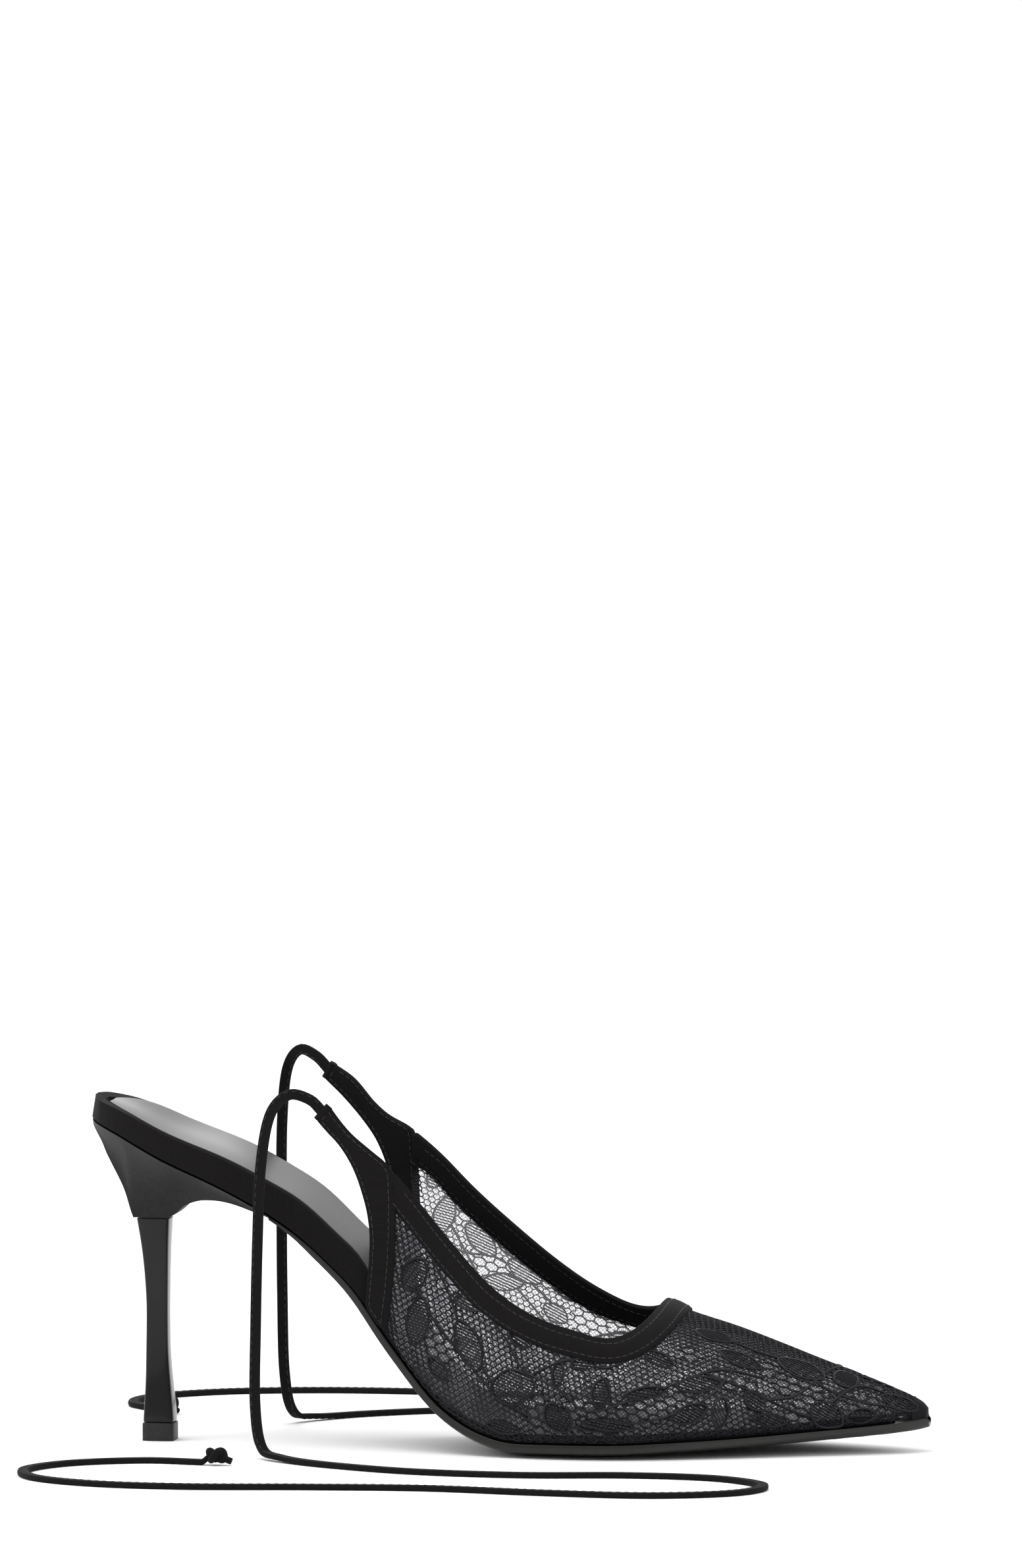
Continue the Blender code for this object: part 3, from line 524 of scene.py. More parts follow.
def measureSide(tree, corners, side, setup):
    # a grid of points on the wall's outer face, from the sole to the throat or the ridge, and its height
    places = np.arange(setup["first"], setup["last"], setup["step"])
    grid, spans = [], []
    for x in places:
        slab = corners[np.abs(corners[:, 0] - x) < setup["slab"]]
        middle = (slab[:, 1].min() + slab[:, 1].max()) / 2
        low = slab[:, 2].min()
        top = min(slab[(slab[:, 1] - middle) * s > 0][:, 2].max() for s in (near, far))
        origin = Vector((x, middle, low + setup["eye"] * (top - low)))
        first = findEdge(tree, origin, side, -setup["turn"], setup["halvings"])
        last = math.pi / 2
        if x <= setup["joined"]:
            last = findEdge(tree, origin, side, setup["turn"], setup["halvings"])
        hits = [outermost(tree, origin, side, angle) for angle in np.linspace(first, last, setup["rays"])]
        line = np.array([hit for hit in hits if hit is not None])
        runs = lengthAlong(line)
        marks = np.linspace(0, runs[-1], setup["rows"] + 1)
        grid.append(np.stack([np.interp(marks, runs, column) for column in line.T], axis=1))
        spans.append(runs[-1])
    return places, np.array(grid), np.array(spans)


def measureLace(setup):
    form = copyNode("upper", "laceForm", levels=2)
    tree, corners = treeOf(form), cornersOf(form)
    sides = {side: measureSide(tree, corners, side, setup) for side in (near, far)}
    bpy.data.objects.remove(form, do_unlink=True)
    return sides


laceSides = measureLace(laceSurface)


def footAt(side, x):
    # height of the wall's lower edge
    return np.interp(x, laceSides[side][0], laceSides[side][1][:, 0, 2])


def spanAt(side, x):
    # length up the wall, from the sole to the throat or the ridge
    return np.interp(x, laceSides[side][0], laceSides[side][2])


def wallShare(side, x, w):
    # share of the way up the wall, of a pattern point at x and height w
    foot, span = footAt(side, x), spanAt(side, x)
    if side == far:
        # past the throat both sides meet over the ridge, so the inner one takes the outer one's pattern
        blend = np.interp(x, laceSurface["likeOuter"], (0, 1))
        foot += (footAt(near, x) - foot) * blend
        span += (spanAt(near, x) - span) * blend
    return (w - foot) / span


def onWall(side, x, share):
    # bilinear point of the wall; outside the measured part it runs straight on
    places, grid, spans = laceSides[side]
    rows = grid.shape[1] - 1
    step = places[1] - places[0]
    i = np.clip(np.floor((x - places[0]) / step).astype(int), 0, len(places) - 2)
    k = np.clip(np.floor(share * rows).astype(int), 0, rows - 1)
    a = ((x - places[0]) / step - i)[:, None]
    b = (share * rows - k)[:, None]
    lower = grid[i, k] * (1 - a) + grid[i + 1, k] * a
    upper = grid[i, k + 1] * (1 - a) + grid[i + 1, k + 1] * a
    return lower * (1 - b) + upper * b


def wallNormal(side, x, share):
    small, part = 0.6 * mm, 0.02
    alongX = onWall(side, x + small, share) - onWall(side, x - small, share)
    upward = onWall(side, x, share + part) - onWall(side, x, share - part)
    return unit(np.cross(upward, alongX) * side)


def layOnWall(side, x, share, depth):
    # points of the wall, depth below its outer face
    return onWall(side, x, share) - wallNormal(side, x, share) * depth


def layOnLace(side, flat, depth):
    # the same for flat pattern points, x and w
    x, w = flat[:, 0], flat[:, 1]
    return layOnWall(side, x, wallShare(side, x, w), depth)


def bandFronts():
    # front edge of each quarter's band as x over height, from its node's own corners
    step, reach = 2.0 * mm, 2.4 * mm
    fronts = {}
    for side, nodeName in ((near, "quarter_band_left"), (far, "quarter_band_right")):
        corners = cornersOf(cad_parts[nodeName])
        heights = np.arange(corners[:, 2].min(), corners[:, 2].max(), step)
        fronts[side] = heights, [corners[np.abs(corners[:, 2] - z) < reach][:, 0].max() for z in heights]
    return fronts


bandFront = bandFronts()


def onLace(side, flat, short=0.0):
    # true where a pattern point lies on the lace or just under the bands round it, or stops short of them
    x, w = flat[:, 0], flat[:, 1]
    share = wallShare(side, x, w)
    tuck = np.where(x < laceSurface["joined"], (laceSurface["tuck"] - short) / spanAt(side, x), 0.0)
    behind = np.interp(w, *bandFront[side]) - laceSurface["tuck"] + 2 * short
    return (share >= 0) & (share <= 1 + tuck) & (x > behind) & (x < laceSurface["threadEnd"])


def heightOnWall(side, x, z):
    # pattern height w of the point that stands z above the floor on the wall at x
    places, grid, spans = laceSides[side]
    i = int(np.clip(round((x - places[0]) / (places[1] - places[0])), 0, len(places) - 1))
    line = grid[i]
    share = np.interp(z, line[:, 2], np.linspace(0, 1, len(line)))
    return line[0, 2] + share * spans[i]


print("lace surface measured")

# the lace's pattern, charted flat: x along the shoe, w up the wall

# leaves and petals: x, height above the floor, length, width, tilt in degrees, tilt of the hatching
nearLeaves = (
    (-23, 50, 10, 7, 60, -20), (-6, 43, 11, 5, -5, -25), (-22, 37, 14, 6.5, 80, -15),
    (-7, 31, 15, 7, -65, -20), (6, 20, 13, 10, 10, -20), (19, 24, 7, 3.2, 85, -10),
    (26, 27, 7, 3.5, 0, -5), (31, 19, 8, 5, 85, -5), (19, 12, 9.5, 7.5, -50, -15),
    (33, 10, 14, 3.4, -5, -12), (43, 19, 11, 3.4, 8, -10), (57, 21, 12, 5, 5, -20),
    (55, 13, 10, 5.2, 20, -30), (63, 13, 9, 4.2, 85, -70), (72, 16, 7.5, 4.6, -45, -35),
    (76, 10.5, 9, 3.6, -10, -30), (91, 11.5, 10, 7.5, -40, -32), (83, 24, 15, 6.5, -33, -38),
    (95, 21, 9, 6, -60, -30), (110, 14.5, 11, 4.4, -30, -35), (67, 27, 13, 4.4, -30, -35),
    (8, 34, 8, 5, -40, -30), (100, 11, 8, 4.5, 5, 0), (59, 33, 11, 4.5, -25, -30),
    (-16, 24, 8, 4.5, -50, -30), (3, 8.5, 10, 3.5, -10, -15), (46, 28, 9, 4, -30, -25),
)
# leaves that only the taller inner quarter has, seen through the throat
farLeaves = (
    (-22, 62, 12, 6, 70, -15), (-12, 55, 12, 6, -50, -25), (-21, 47, 9, 6, 10, -20),
    (0, 46, 11, 6, -35, -30), (-4, 58, 10, 5, -45, -20), (12, 41, 10, 5, -30, -25),
    (22, 36, 9, 4.5, -15, -20), (-24, 73, 8, 5, 60, -20),
)
# clusters of large round holes: x, height, half length, half width, tilt
nearClusters = (
    (-15, 31, 4.5, 5, 0), (13.5, 12, 3.2, 6.5, 0), (23, 14, 2, 4, 0), (31, 14.2, 7, 2.4, -3),
    (43.5, 13.6, 7.5, 4, 10), (52, 17.5, 5, 1.8, 15), (31, 6.5, 9, 2, 0), (83, 18.5, 8, 4, -40),
    (84, 11, 3, 3, 0), (94.5, 16.5, 3, 2, 0), (101.5, 14.8, 5, 2.6, 0), (103, 19.5, 4.5, 2.6, -35),
    (75, 25, 2, 3.2, 0), (68, 20.5, 4, 2, 0), (54, 29, 3.5, 2, -30), (-13, 49, 4, 3, -20),
)
farClusters = (
    (-14, 66, 5, 5, 0), (-8, 47, 4, 4, -30), (6, 52, 5, 3.5, -35), (17, 31, 5, 4, -30), (27, 31, 5, 3, -20),
)
# stems that join the leaves: x and height of the points that a smooth cord runs through
nearStems = (
    ((-24, 47), (-16, 36), (-8, 27), (0, 19), (10, 12.5), (22, 9.5), (36, 7.5)),
    ((-21, 61), (-16, 51), (-12, 43), (-9, 34), (-3, 25), (5, 16), (13, 8.5)),
    ((-3, 42), (4, 33), (9, 25), (19, 20), (27, 14), (38, 16.5), (50, 21), (62, 24.5), (74, 22)),
    ((27, 10.5), (40, 10.5), (52, 13.5), (61, 18.5), (66, 25)),
    ((60, 33), (70, 29), (80, 25.5), (90, 19), (100, 15), (111, 13)),
    ((58, 24), (70, 19), (82, 13), (92, 9.5)), ((12, 24), (22, 28), (33, 26), (43, 31)),
    ((74, 16), (84, 18), (93, 24)), ((-25, 55), (-21, 44), (-15, 34)), ((92, 15), (99, 19), (106, 17)),
)
farStems = (
    ((-23, 77), (-17, 66), (-8, 57), (2, 48), (13, 40), (25, 34), (34, 31)),
    ((-26, 60), (-18, 52), (-8, 50), (0, 44), (8, 36)),
)

netSetup = {
    "pitch": 1.85 * mm,      # along the rows of holes
    "squash": 0.86,          # rows lie closer than in a regular honeycomb
    "tilt": -24.0,
    "thread": {near: 0.24, far: 0.20},       # mm, radius; the inner lace is seen against the light
    "depth": 0.50 * mm,
}
holeSetup = {
    "pitch": 3.5 * mm,
    "squash": 0.68,
    "tilt": -24.0,
    "thread": {near: 0.31, far: 0.26},
    "depth": 0.45 * mm,
    "over": 0.25,            # the large holes reach this share past their cluster, into the net
}
leafSetup = {
    "hatchPitch": 0.80 * mm,
    "hatch": ({near: 0.26, far: 0.23}, 0.42 * mm),       # radius in mm, depth
    "outline": ({near: 0.40, far: 0.34}, 0.34 * mm),
    "step": 0.9 * mm,
    "leafPower": 1.6,        # pointed ovals; clusters are round
    "clusterPower": 2,
    "overlap": -0.05,        # how far an outline may run into an earlier leaf, as a level
    "shortest": 0.15 * mm,   # shorter bits of thread are dropped
}
# the middle of the chart and how far the threads run from it
chart = {"centre": np.array([40 * mm, 30 * mm]), "reach": 95 * mm}
# two weights of tulle lie under the net: a square mesh and a much finer lining
fineSetup = {"pitch": 0.42 * mm, "thread": {near: 0.072, far: 0.044}, "depth": 1.1 * mm, "step": 3.0 * mm,
             "tilt": -33.0, "short": {near: 0.0, far: 1.4 * mm}}
tulleSetup = {"pitch": 0.78 * mm, "thread": {near: 0.09, far: 0.06}, "depth": 0.86 * mm, "step": 2.4 * mm,
              "tilt": 36.0, "short": {near: 0.0, far: 0.0}}


def smoothRoute(route, spacing):
    # evenly spaced points on a smooth curve through the route, and its length
    marks = [Vector(p) for p in route]
    ends = [2 * marks[0] - marks[1]] + marks + [2 * marks[-1] - marks[-2]]
    fine = []
    for k in range(1, len(ends) - 2):
        a, b, c, d = ends[k - 1:k + 3]
        for t in np.arange(0, 1, 0.05):
            fine.append(0.5 * (2 * b + (c - a) * t + (2 * a - 5 * b + 4 * c - d) * t * t
                               + (3 * b - a - 3 * c + d) * t ** 3))
    fine = np.array(fine + [marks[-1]])
    return evenly(fine, spacing), lengthAlong(fine)[-1]


def rotated(points, degrees):
    turn = math.radians(degrees)
    return points @ np.array([[math.cos(turn), math.sin(turn)], [-math.sin(turn), math.cos(turn)]])


def straight(places, offset, degrees, centre):
    # a line of the chart that is offset from its centre and turned round it
    return rotated(np.stack([places, np.full(len(places), offset)], axis=1), degrees) + centre


def leafLevel(points, shapes):
    # below zero inside one of the shapes: pointed leaves or round clusters
    if not len(shapes):
        return np.full(len(points), 9.0)
    x, w, halfLength, halfWidth, tilt, power = np.asarray(shapes).T
    turn = np.radians(tilt)
    dx = points[:, 0][:, None] - x
    dw = points[:, 1][:, None] - w
    u = np.abs(dx * np.cos(turn) + dw * np.sin(turn)) / halfLength
    v = np.abs(dw * np.cos(turn) - dx * np.sin(turn)) / halfWidth
    return (u ** power + v ** power - 1).min(axis=1)


def clipRuns(points, inside):
    # the stretches of a line that lie inside, cut to the edge by halving, without the shortest ones
    kept = inside(points)
    runs, run = [], []
    for k in range(len(points)):
        if k and kept[k] != kept[k - 1]:
            a, b = (points[k - 1], points[k]) if kept[k - 1] else (points[k], points[k - 1])
            for _ in range(6):
                middle = (a + b) / 2
                if inside(middle[None, :])[0]:
                    a = middle
                else:
                    b = middle
            run.append(a)
            if not kept[k]:
                runs.append(np.array(run))
                run = []
        if kept[k]:
            run.append(points[k])
    if len(run) > 1:
        runs.append(np.array(run))
    return [r for r in runs
            if len(r) > 1 and np.abs(r[[-1, len(r) // 2]] - r[0]).sum() > leafSetup["shortest"]]


def honeycomb(setup):
    # zigzag rows and the short links between them
    pitch, squash = setup["pitch"], setup["squash"]
    edge = pitch / math.sqrt(3)
    rise = 1.5 * edge * squash
    rows = int(chart["reach"] / rise)
    count = int(2 * chart["reach"] / pitch)
    lines = []
    i = np.arange(-count, count + 1)
    for r in range(-rows, rows + 1):
        swing = np.where((i + r) % 2 == 0, -1, 1) * edge / 4 * squash
        lines.append(np.stack([i * pitch / 2, r * rise + swing], axis=1))
        for k in i[(i + r) % 2 == 1]:
            low = r * rise + edge / 4 * squash
            lines.append(np.array([(k * pitch / 2, low), (k * pitch / 2, low + edge * squash)]))
    return [rotated(line, setup["tilt"]) + chart["centre"] for line in lines]


def shapesOn(side, rows, size, power):
    # charted shapes with their places on the wall; size is what a charted length of one stands for
    return [(x * mm, heightOnWall(side, x * mm, z * mm), long * size, wide * size, tilt, power)
            for x, z, long, wide, tilt, *hatch in rows]


def patternOf(side):
    # every thread of one side as (flat points, radius in mm, depth)
    leaves = nearLeaves + (farLeaves if side == far else ())
    clusters = nearClusters + (farClusters if side == far else ())
    stems = nearStems + (farStems if side == far else ())
    leafShapes = shapesOn(side, leaves, mm / 2, leafSetup["leafPower"])
    holeShapes = shapesOn(side, clusters, mm, leafSetup["clusterPower"])
    threads = []

    def addThreads(line, inside, radius, depth):
        threads.extend((run, radius[side], depth) for run in clipRuns(line, inside))

    def offLeaves(points):
        return onLace(side, points) & (leafLevel(points, leafShapes) > 0)

    def inNet(points):
        return offLeaves(points) & (leafLevel(points, holeShapes) > 0)

    def inHoles(points):
        return offLeaves(points) & (leafLevel(points, holeShapes) < holeSetup["over"])

    for setup, inside in ((netSetup, inNet), (holeSetup, inHoles)):
        for line in honeycomb(setup):
            if onLace(side, line).any():
                addThreads(line, inside, setup["thread"], setup["depth"])
    for stem in stems:
        marks = [(x * mm, heightOnWall(side, x * mm, z * mm), 0.0) for x, z in stem]
        addThreads(smoothRoute(marks, leafSetup["step"])[0][:, :2], offLeaves, *leafSetup["outline"])
    for k, (x, w, halfLength, halfWidth, tilt, power) in enumerate(leafShapes):
        one, before = leafShapes[k:k + 1], leafShapes[:k]

        def inLeaf(points):
            return onLace(side, points) & (leafLevel(points, one) < 0) & (leafLevel(points, before) > 0)

        def offEarlier(points):
            return onLace(side, points) & (leafLevel(points, before) > leafSetup["overlap"])

        angle = np.linspace(0, 2 * math.pi, max(14, int(4 * halfLength / leafSetup["step"])))
        u, v = np.cos(angle), np.sin(angle)
        loop = np.stack([np.sign(u) * np.abs(u) ** (2 / power) * halfLength,
                         np.sign(v) * np.abs(v) ** (2 / power) * halfWidth], axis=1)
        addThreads(rotated(loop, tilt) + (x, w), offEarlier, *leafSetup["outline"])
        # the hatching, a little wider than the leaf before it is cut
        span = max(halfLength, halfWidth) * 1.05
        places = np.arange(-span, span + leafSetup["step"], leafSetup["step"])
        for offset in np.arange(-span, span, leafSetup["hatchPitch"]):
            addThreads(straight(places, offset, leaves[k][5], (x, w)), inLeaf, *leafSetup["hatch"])
    return threads


def tulleOf(side, setup):
    # the threads of one tulle, which ends just inside the stiffened toe
    threads = []
    end = laceSurface["toe"] + 1.0 * mm
    places = np.arange(-chart["reach"], chart["reach"], setup["step"])

    def inTulle(points):
        return onLace(side, points, setup["short"][side]) & (points[:, 0] < end)

    for turn in (0, 90):
        for offset in np.arange(-chart["reach"], chart["reach"], setup["pitch"]):
            line = straight(places, offset, setup["tilt"] + turn, chart["centre"])
            if onLace(side, line).any():
                threads += [(run, setup["thread"][side], setup["depth"]) for run in clipRuns(line, inTulle)]
    return threads


def weaveThreads(pieceName, runs, resolution=0):
    # a bevelled curve with a spline for each thread, made a mesh; runs are points, radius in mm, closed
    curve = bpy.data.curves.new(pieceName, "CURVE")
    curve.dimensions = "3D"
    curve.bevel_depth = mm
    curve.bevel_resolution = resolution
    curve.use_fill_caps = True
    for points, radius, closed in runs:
        spline = curve.splines.new("POLY")
        spline.points.add(len(points) - 1)
        spline.points.foreach_set("co", np.column_stack([points, np.ones(len(points))]).ravel())
        spline.points.foreach_set("radius", np.full(len(points), radius))
        spline.use_cyclic_u = closed
    placePiece(pieceName, curve)
    bpy.ops.object.convert(target="MESH")
    return bpy.context.object


def makeLace():
    for side, word in ((near, "Outer"), (far, "Inner")):
        layers = (
            ("laceNet", "lace", patternOf(side)),
            ("tulle", "tulle", tulleOf(side, tulleSetup)),
            ("tulleLining", "lining", tulleOf(side, fineSetup)),
        )
        for name, material, threads in layers:
            laid = [(layOnLace(side, flat, depth), radius, False) for flat, radius, depth in threads]
            piece = finishPiece(weaveThreads(name + word, laid), material, "lace", "upper")
            print(piece.name, len(piece.data.polygons))


makeLace()

marginSetup = {
    "height": 3.4 * mm,
    "lower": ((-0.0298, 0.0, 0.060, 0.1154), (0.5, 1.0, 0.9, 1.0)),      # x in m, share of that height
    "under": 0.9 * mm,       # how far it runs on below the wall's edge
    "depth": 0.95 * mm,
    "thick": 0.14 * mm,
    "back": 1.0 * mm,        # it starts and ends this far behind the first and the last section
    "grid": (110, 4),
}
toeSetup = {
    "sunk": 0.3 * mm,
    "rim": 0.8 * mm,         # height of the lower edge that is let down
    "drop": 0.9 * mm,
}


def makeMargin(setup):
    # the turned-under edge of the lace, a dense strip along the sole on both sides
    start, end = laceSurface["first"] - setup["back"], laceSurface["last"] - setup["back"]
    columns, rows = setup["grid"]
    for side, word in ((near, "Outer"), (far, "Inner")):
        bpy.ops.mesh.primitive_grid_add(x_subdivisions=columns, y_subdivisions=rows, size=2)
        strip = bpy.context.object
        strip.name = "laceMargin" + word
        along, up = (cornersOf(strip)[:, :2].T + 1) / 2
        x = start + along * (end - start)
        tall = setup["height"] * np.interp(x, *setup["lower"])
        rise = up * (tall + setup["under"]) - setup["under"]
        moveCorners(strip, layOnWall(side, x, rise / spanAt(side, x), setup["depth"]))
        editWhole(strip, bpy.ops.mesh.normals_make_consistent, inside=False)
        applyModifier(strip, "SOLIDIFY", thickness=setup["thick"], offset=0.0)
        finishPiece(strip, "backing", "lace", "upper")


def makeToe(setup):
    # the stiffened tip of the toe: the front of the wall, kept a little under the threads
    tip = copyNode("upper", "toeStiffener")
    editWhole(tip, bpy.ops.mesh.bisect, plane_co=(laceSurface["toe"], 0, 0), plane_no=(1, 0, 0),
              use_fill=True, clear_inner=True)
    editWhole(tip, bpy.ops.transform.shrink_fatten, value=-setup["sunk"])
    for vert in tip.data.vertices:
        # its lower edge reaches down to the sole
        if vert.co.z < footAt(near, vert.co.x) + setup["rim"]:
            vert.co.z -= setup["drop"]
    finishPiece(tip, "backing", "lace", "upper")


makeMargin(marginSetup)
makeToe(toeSetup)
print("margin and toe")

# cloth bands

bandPieces = (
    # node, piece, side (0 for both)
    ("throat_binding", "throatBinding", 0),
    ("quarter_band_left", "quarterBandOuter", near),
    ("quarter_band_right", "quarterBandInner", far),
)
throatSetup = {
    "rear": -30 * mm,
    "front": 49.2 * mm,      # where the two sides meet at the front of the throat
    "bend": 5.2 * mm,
    "bendPoints": 12,
    "outAt": 0.93,           # share of the wall's height at which its outward direction is taken
}
stitchSetup = {"inset": 1.0 * mm, "pitch": 2.0 * mm, "long": 1.35 * mm, "thread": 0.13, "proud": 0.03 * mm}
# an arched stitch: share of its length, height as a share of what it stands proud; its ends go into the cloth
stitchArch = ((0.0, -3.6), (0.16, 0.4), (0.5, 1.0), (0.84, 0.4), (1.0, -3.6))


def throatLine(setup):
    # the lace's upper edge all round the throat, with the wall's outward direction at each point
    points, outs = [], []
    turn = setup["front"] - setup["bend"] * np.linspace(1, 0, setup["bendPoints"]) ** 2
    x = np.concatenate([np.arange(setup["rear"], turn[0], 1.0 * mm), turn])
    edge = np.ones(len(x))
    for side in (near, far):
        line, out = onWall(side, x, edge), wallNormal(side, x, setup["outAt"] * edge)
        points += list(line if side == near else line[::-1])
        outs += list(out if side == near else out[::-1])
    both = evenly(np.hstack([np.array(points), np.array(outs)]), 1.0 * mm)
    return both[:, :3], unit(both[:, 3:])


def bandOutline(tree, nodeName, side):
    # rear and front edge of a quarter's band, found by looking at it from the side
    step, fine = 0.8 * mm, 0.2 * mm
    rear, front = [], []
    lowest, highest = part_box(nodeName)
    for z in np.arange(lowest.z + 1.0 * mm, highest.z - 0.6 * mm, step):
        met = [x for x in np.arange(lowest.x, highest.x + fine, fine)
               if tree.ray_cast(Vector((x, side * 0.1, z)), Vector((0, -side, 0)))[0] is not None]
        if met:
            rear.append((min(met), z))
            front.append((max(met), z))
    return evenly(rear, step), evenly(front, step)


def dropOn(tree, point, outward):
    # the surface point and normal under a point that is first lifted off the surface
    lift, fall = 4 * mm, 9 * mm
    hit, normal, face, away = tree.ray_cast(Vector(point + outward * lift), Vector(-outward), fall)
    return (None, None) if hit is None else (np.array(hit), np.array(normal))


def stitchAlong(tree, line, outs, setup):
    # short arched stitches, evenly spaced along a line that is dropped on a surface
    marks = evenly(np.hstack([line, outs]), 0.25 * mm)
    runs = lengthAlong(marks[:, :3])
    stitches = []
    for start in np.arange(0.5 * setup["pitch"], runs[-1] - setup["long"], setup["pitch"]):
        thread = []
        for share, rise in stitchArch:
            place = np.array([np.interp(start + share * setup["long"], runs, column) for column in marks.T])
            hit, normal = dropOn(tree, place[:3], place[3:] / np.linalg.norm(place[3:]))
            if hit is None:
                break
            thread.append(hit + normal * rise * setup["proud"])
        if len(thread) == len(stitchArch):
            stitches.append((np.array(thread), setup["thread"], False))
    return stitches


def mapBand(band, spine):
    # along the band and up it, for the cloth's ribs
    corners = cornersOf(band)
    nearest = np.linalg.norm(corners[:, None, :] - spine[None, :, :], axis=2).argmin(axis=1)
    ahead = unit(np.gradient(spine, axis=0))
    offset = ((corners - spine[nearest]) * ahead[nearest]).sum(axis=1)
    mapCloth(band, lengthAlong(spine)[nearest] + offset, corners[:, 2])


def shapeThroat(band, line, outs, across, setup):
    # the binding is a little full, its lower edge covers the lace and its ends the quarters' bands
    corners = cornersOf(band)
    nearest = np.linalg.norm(corners[:, None, :] - line[None, :, :], axis=2).argmin(axis=1)
    local = corners - line[nearest]
    rise = (local * across[nearest]).sum(axis=1)
    out = (local * outs[nearest]).sum(axis=1)
    share = np.clip(rise / setup["width"], 0, 1)
    full = np.where(out > -setup["wall"] / 2, setup["puff"], -0.5 * setup["puff"])
    lower = np.clip(1 - (rise - 0.2 * mm) / setup["fade"], 0, 1) * setup["cover"]
    corners += outs[nearest] * (4 * share * (1 - share) * full)[:, None] - across[nearest] * lower[:, None]
    corners[:, 0] -= np.where(corners[:, 0] < laceSurface["first"] - 0.2 * mm, setup["longer"], 0)
    moveCorners(band, corners)


def shapeQuarter(band, side, front, setup):
    # its front edge covers the rear of the lace, up to where the binding crosses it
    corners = cornersOf(band)
    edge = np.interp(corners[:, 2], front[:, 1], front[:, 0])
    weight = np.clip((corners[:, 0] - edge) / setup["fade"] + 1, 0, 1)
    weight *= np.clip((setup["join"][side] - corners[:, 2]) / (2 * setup["fade"]), 0, 1)
    corners[:, 0] += weight * setup["cover"]
    moveCorners(band, corners)


def quarterRows(tree, edge, inward, side, setup):
    # a row of stitches along one edge of a quarter's band, on both its faces
    ahead = unit(np.gradient(edge, axis=0))
    shifted = edge + np.stack([ahead[:, 1], -ahead[:, 0]], axis=1) * setup["inset"] * inward
    stitches = []
    for face, start in ((1, side * 60 * mm), (-1, 0.0)):
        out = Vector((0, side * face, 0))
        hits = [tree.ray_cast(Vector((x, start, z)), -out, 80 * mm)[0] for x, z in shifted]
        hits = np.array([hit for hit in hits if hit is not None])
        if len(hits) > 3:
            stitches += stitchAlong(tree, hits, np.tile(list(out), (len(hits), 1)), setup)
    return stitches


def makeThroat(band, setup, shape):
    line, outs = throatLine(throatSetup)
    across = unit(np.cross(outs, np.gradient(line, axis=0)))
    mapBand(band, line)
    shapeThroat(band, line, outs, across, shape)
    tree = treeOf(band)
    stitches = []
    for inset in (setup["inset"] / 2, shape["width"] - setup["inset"]):
        for face in (1, -1):
            stitches += stitchAlong(tree, line + across * inset, outs * face, setup)
    return stitches


def makeQuarter(band, nodeName, side, setup, shape):
    rear, front = bandOutline(treeOf(band), nodeName, side)
    shapeQuarter(band, side, front, shape)
    tree = treeOf(band)
    stitches = quarterRows(tree, rear, 1, side, setup) + quarterRows(tree, front, -1, side, setup)
    count = min(len(rear), len(front))
    x, z = np.array([(rear[int(k * (len(rear) - 1) / count)] + front[int(k * (len(front) - 1) / count)]) / 2
                     for k in range(count)]).T
    lowest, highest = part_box(nodeName)
    mapBand(band, np.stack([x, np.full(count, (lowest.y + highest.y) / 2), z], axis=1))
    return stitches


def makeBands(rows, setup, shape):
    stitches = []
    for nodeName, pieceName, side in rows:
        band = copyNode(nodeName, pieceName, sharp=50, bevel=shape["bevel"], levels=2)
        editWhole(band, bpy.ops.transform.shrink_fatten, value=shape["fuller"])
        if side == 0:
            stitches += makeThroat(band, setup, shape)
        else:
            stitches += makeQuarter(band, nodeName, side, setup, shape)
        finishPiece(band, "faille", "faille", nodeName)
    finishPiece(weaveThreads("bandStitches", stitches, 1), "stitch", "faille")
    print("stitches on the bands", len(stitches))


bandShape = {
    "bevel": 0.25 * mm,
    "fuller": 0.14 * mm,     # the cloth's thickness over the solid
    "width": 5.7 * mm,
    "puff": 0.3 * mm,
    "wall": 1.0 * mm,        # of the upper
    "cover": 0.9 * mm,
    "fade": 2.0 * mm,        # stretch over which the cover comes in
    "longer": 1.0 * mm,      # how far the binding's ends run on over the quarters' bands
    "join": {near: 80 * mm, far: 88 * mm},      # height at which the binding crosses a quarter's band
}
makeBands(bandPieces, stitchSetup, bandShape)
print("bands")

# ties, flat folded straps that run down to the floor, each with a knot at its end

tieSetup = {
    "width": 3.0 * mm,
    "thickness": 1.4 * mm,
    "spacing": 1.2 * mm,     # from one cross section to the next
    "rest": 0.9 * mm,        # height of its middle when it lies on the floor
    "solidRest": 1.6 * mm,   # the same of the round solid that stands in for it
    "ease": 8 * mm,          # rise over which it comes down from the one to the other, and turns flat
    "upright": 3 * mm,       # height up to which it lies quite flat
    "inside": 2.4 * mm,      # how far it runs into the tab
    "stitchedAt": 0.9 * mm,
    # the rolled end of each tab, from its lower to its upper corner: x and height in mm
    "lip": {"left": ((-50.5, 92.2), (-47.1, 96.1)), "right": ((-55.6, 99.8), (-53.1, 104.0))},
    "lipRadius": 1.15,       # mm
    "lean": -0.6 * mm,       # the tab leans in to the ankle at its top
}
tieStitch = {"pitch": 2.4 * mm, "long": 1.5 * mm, "thread": 0.11, "proud": 0.03 * mm}
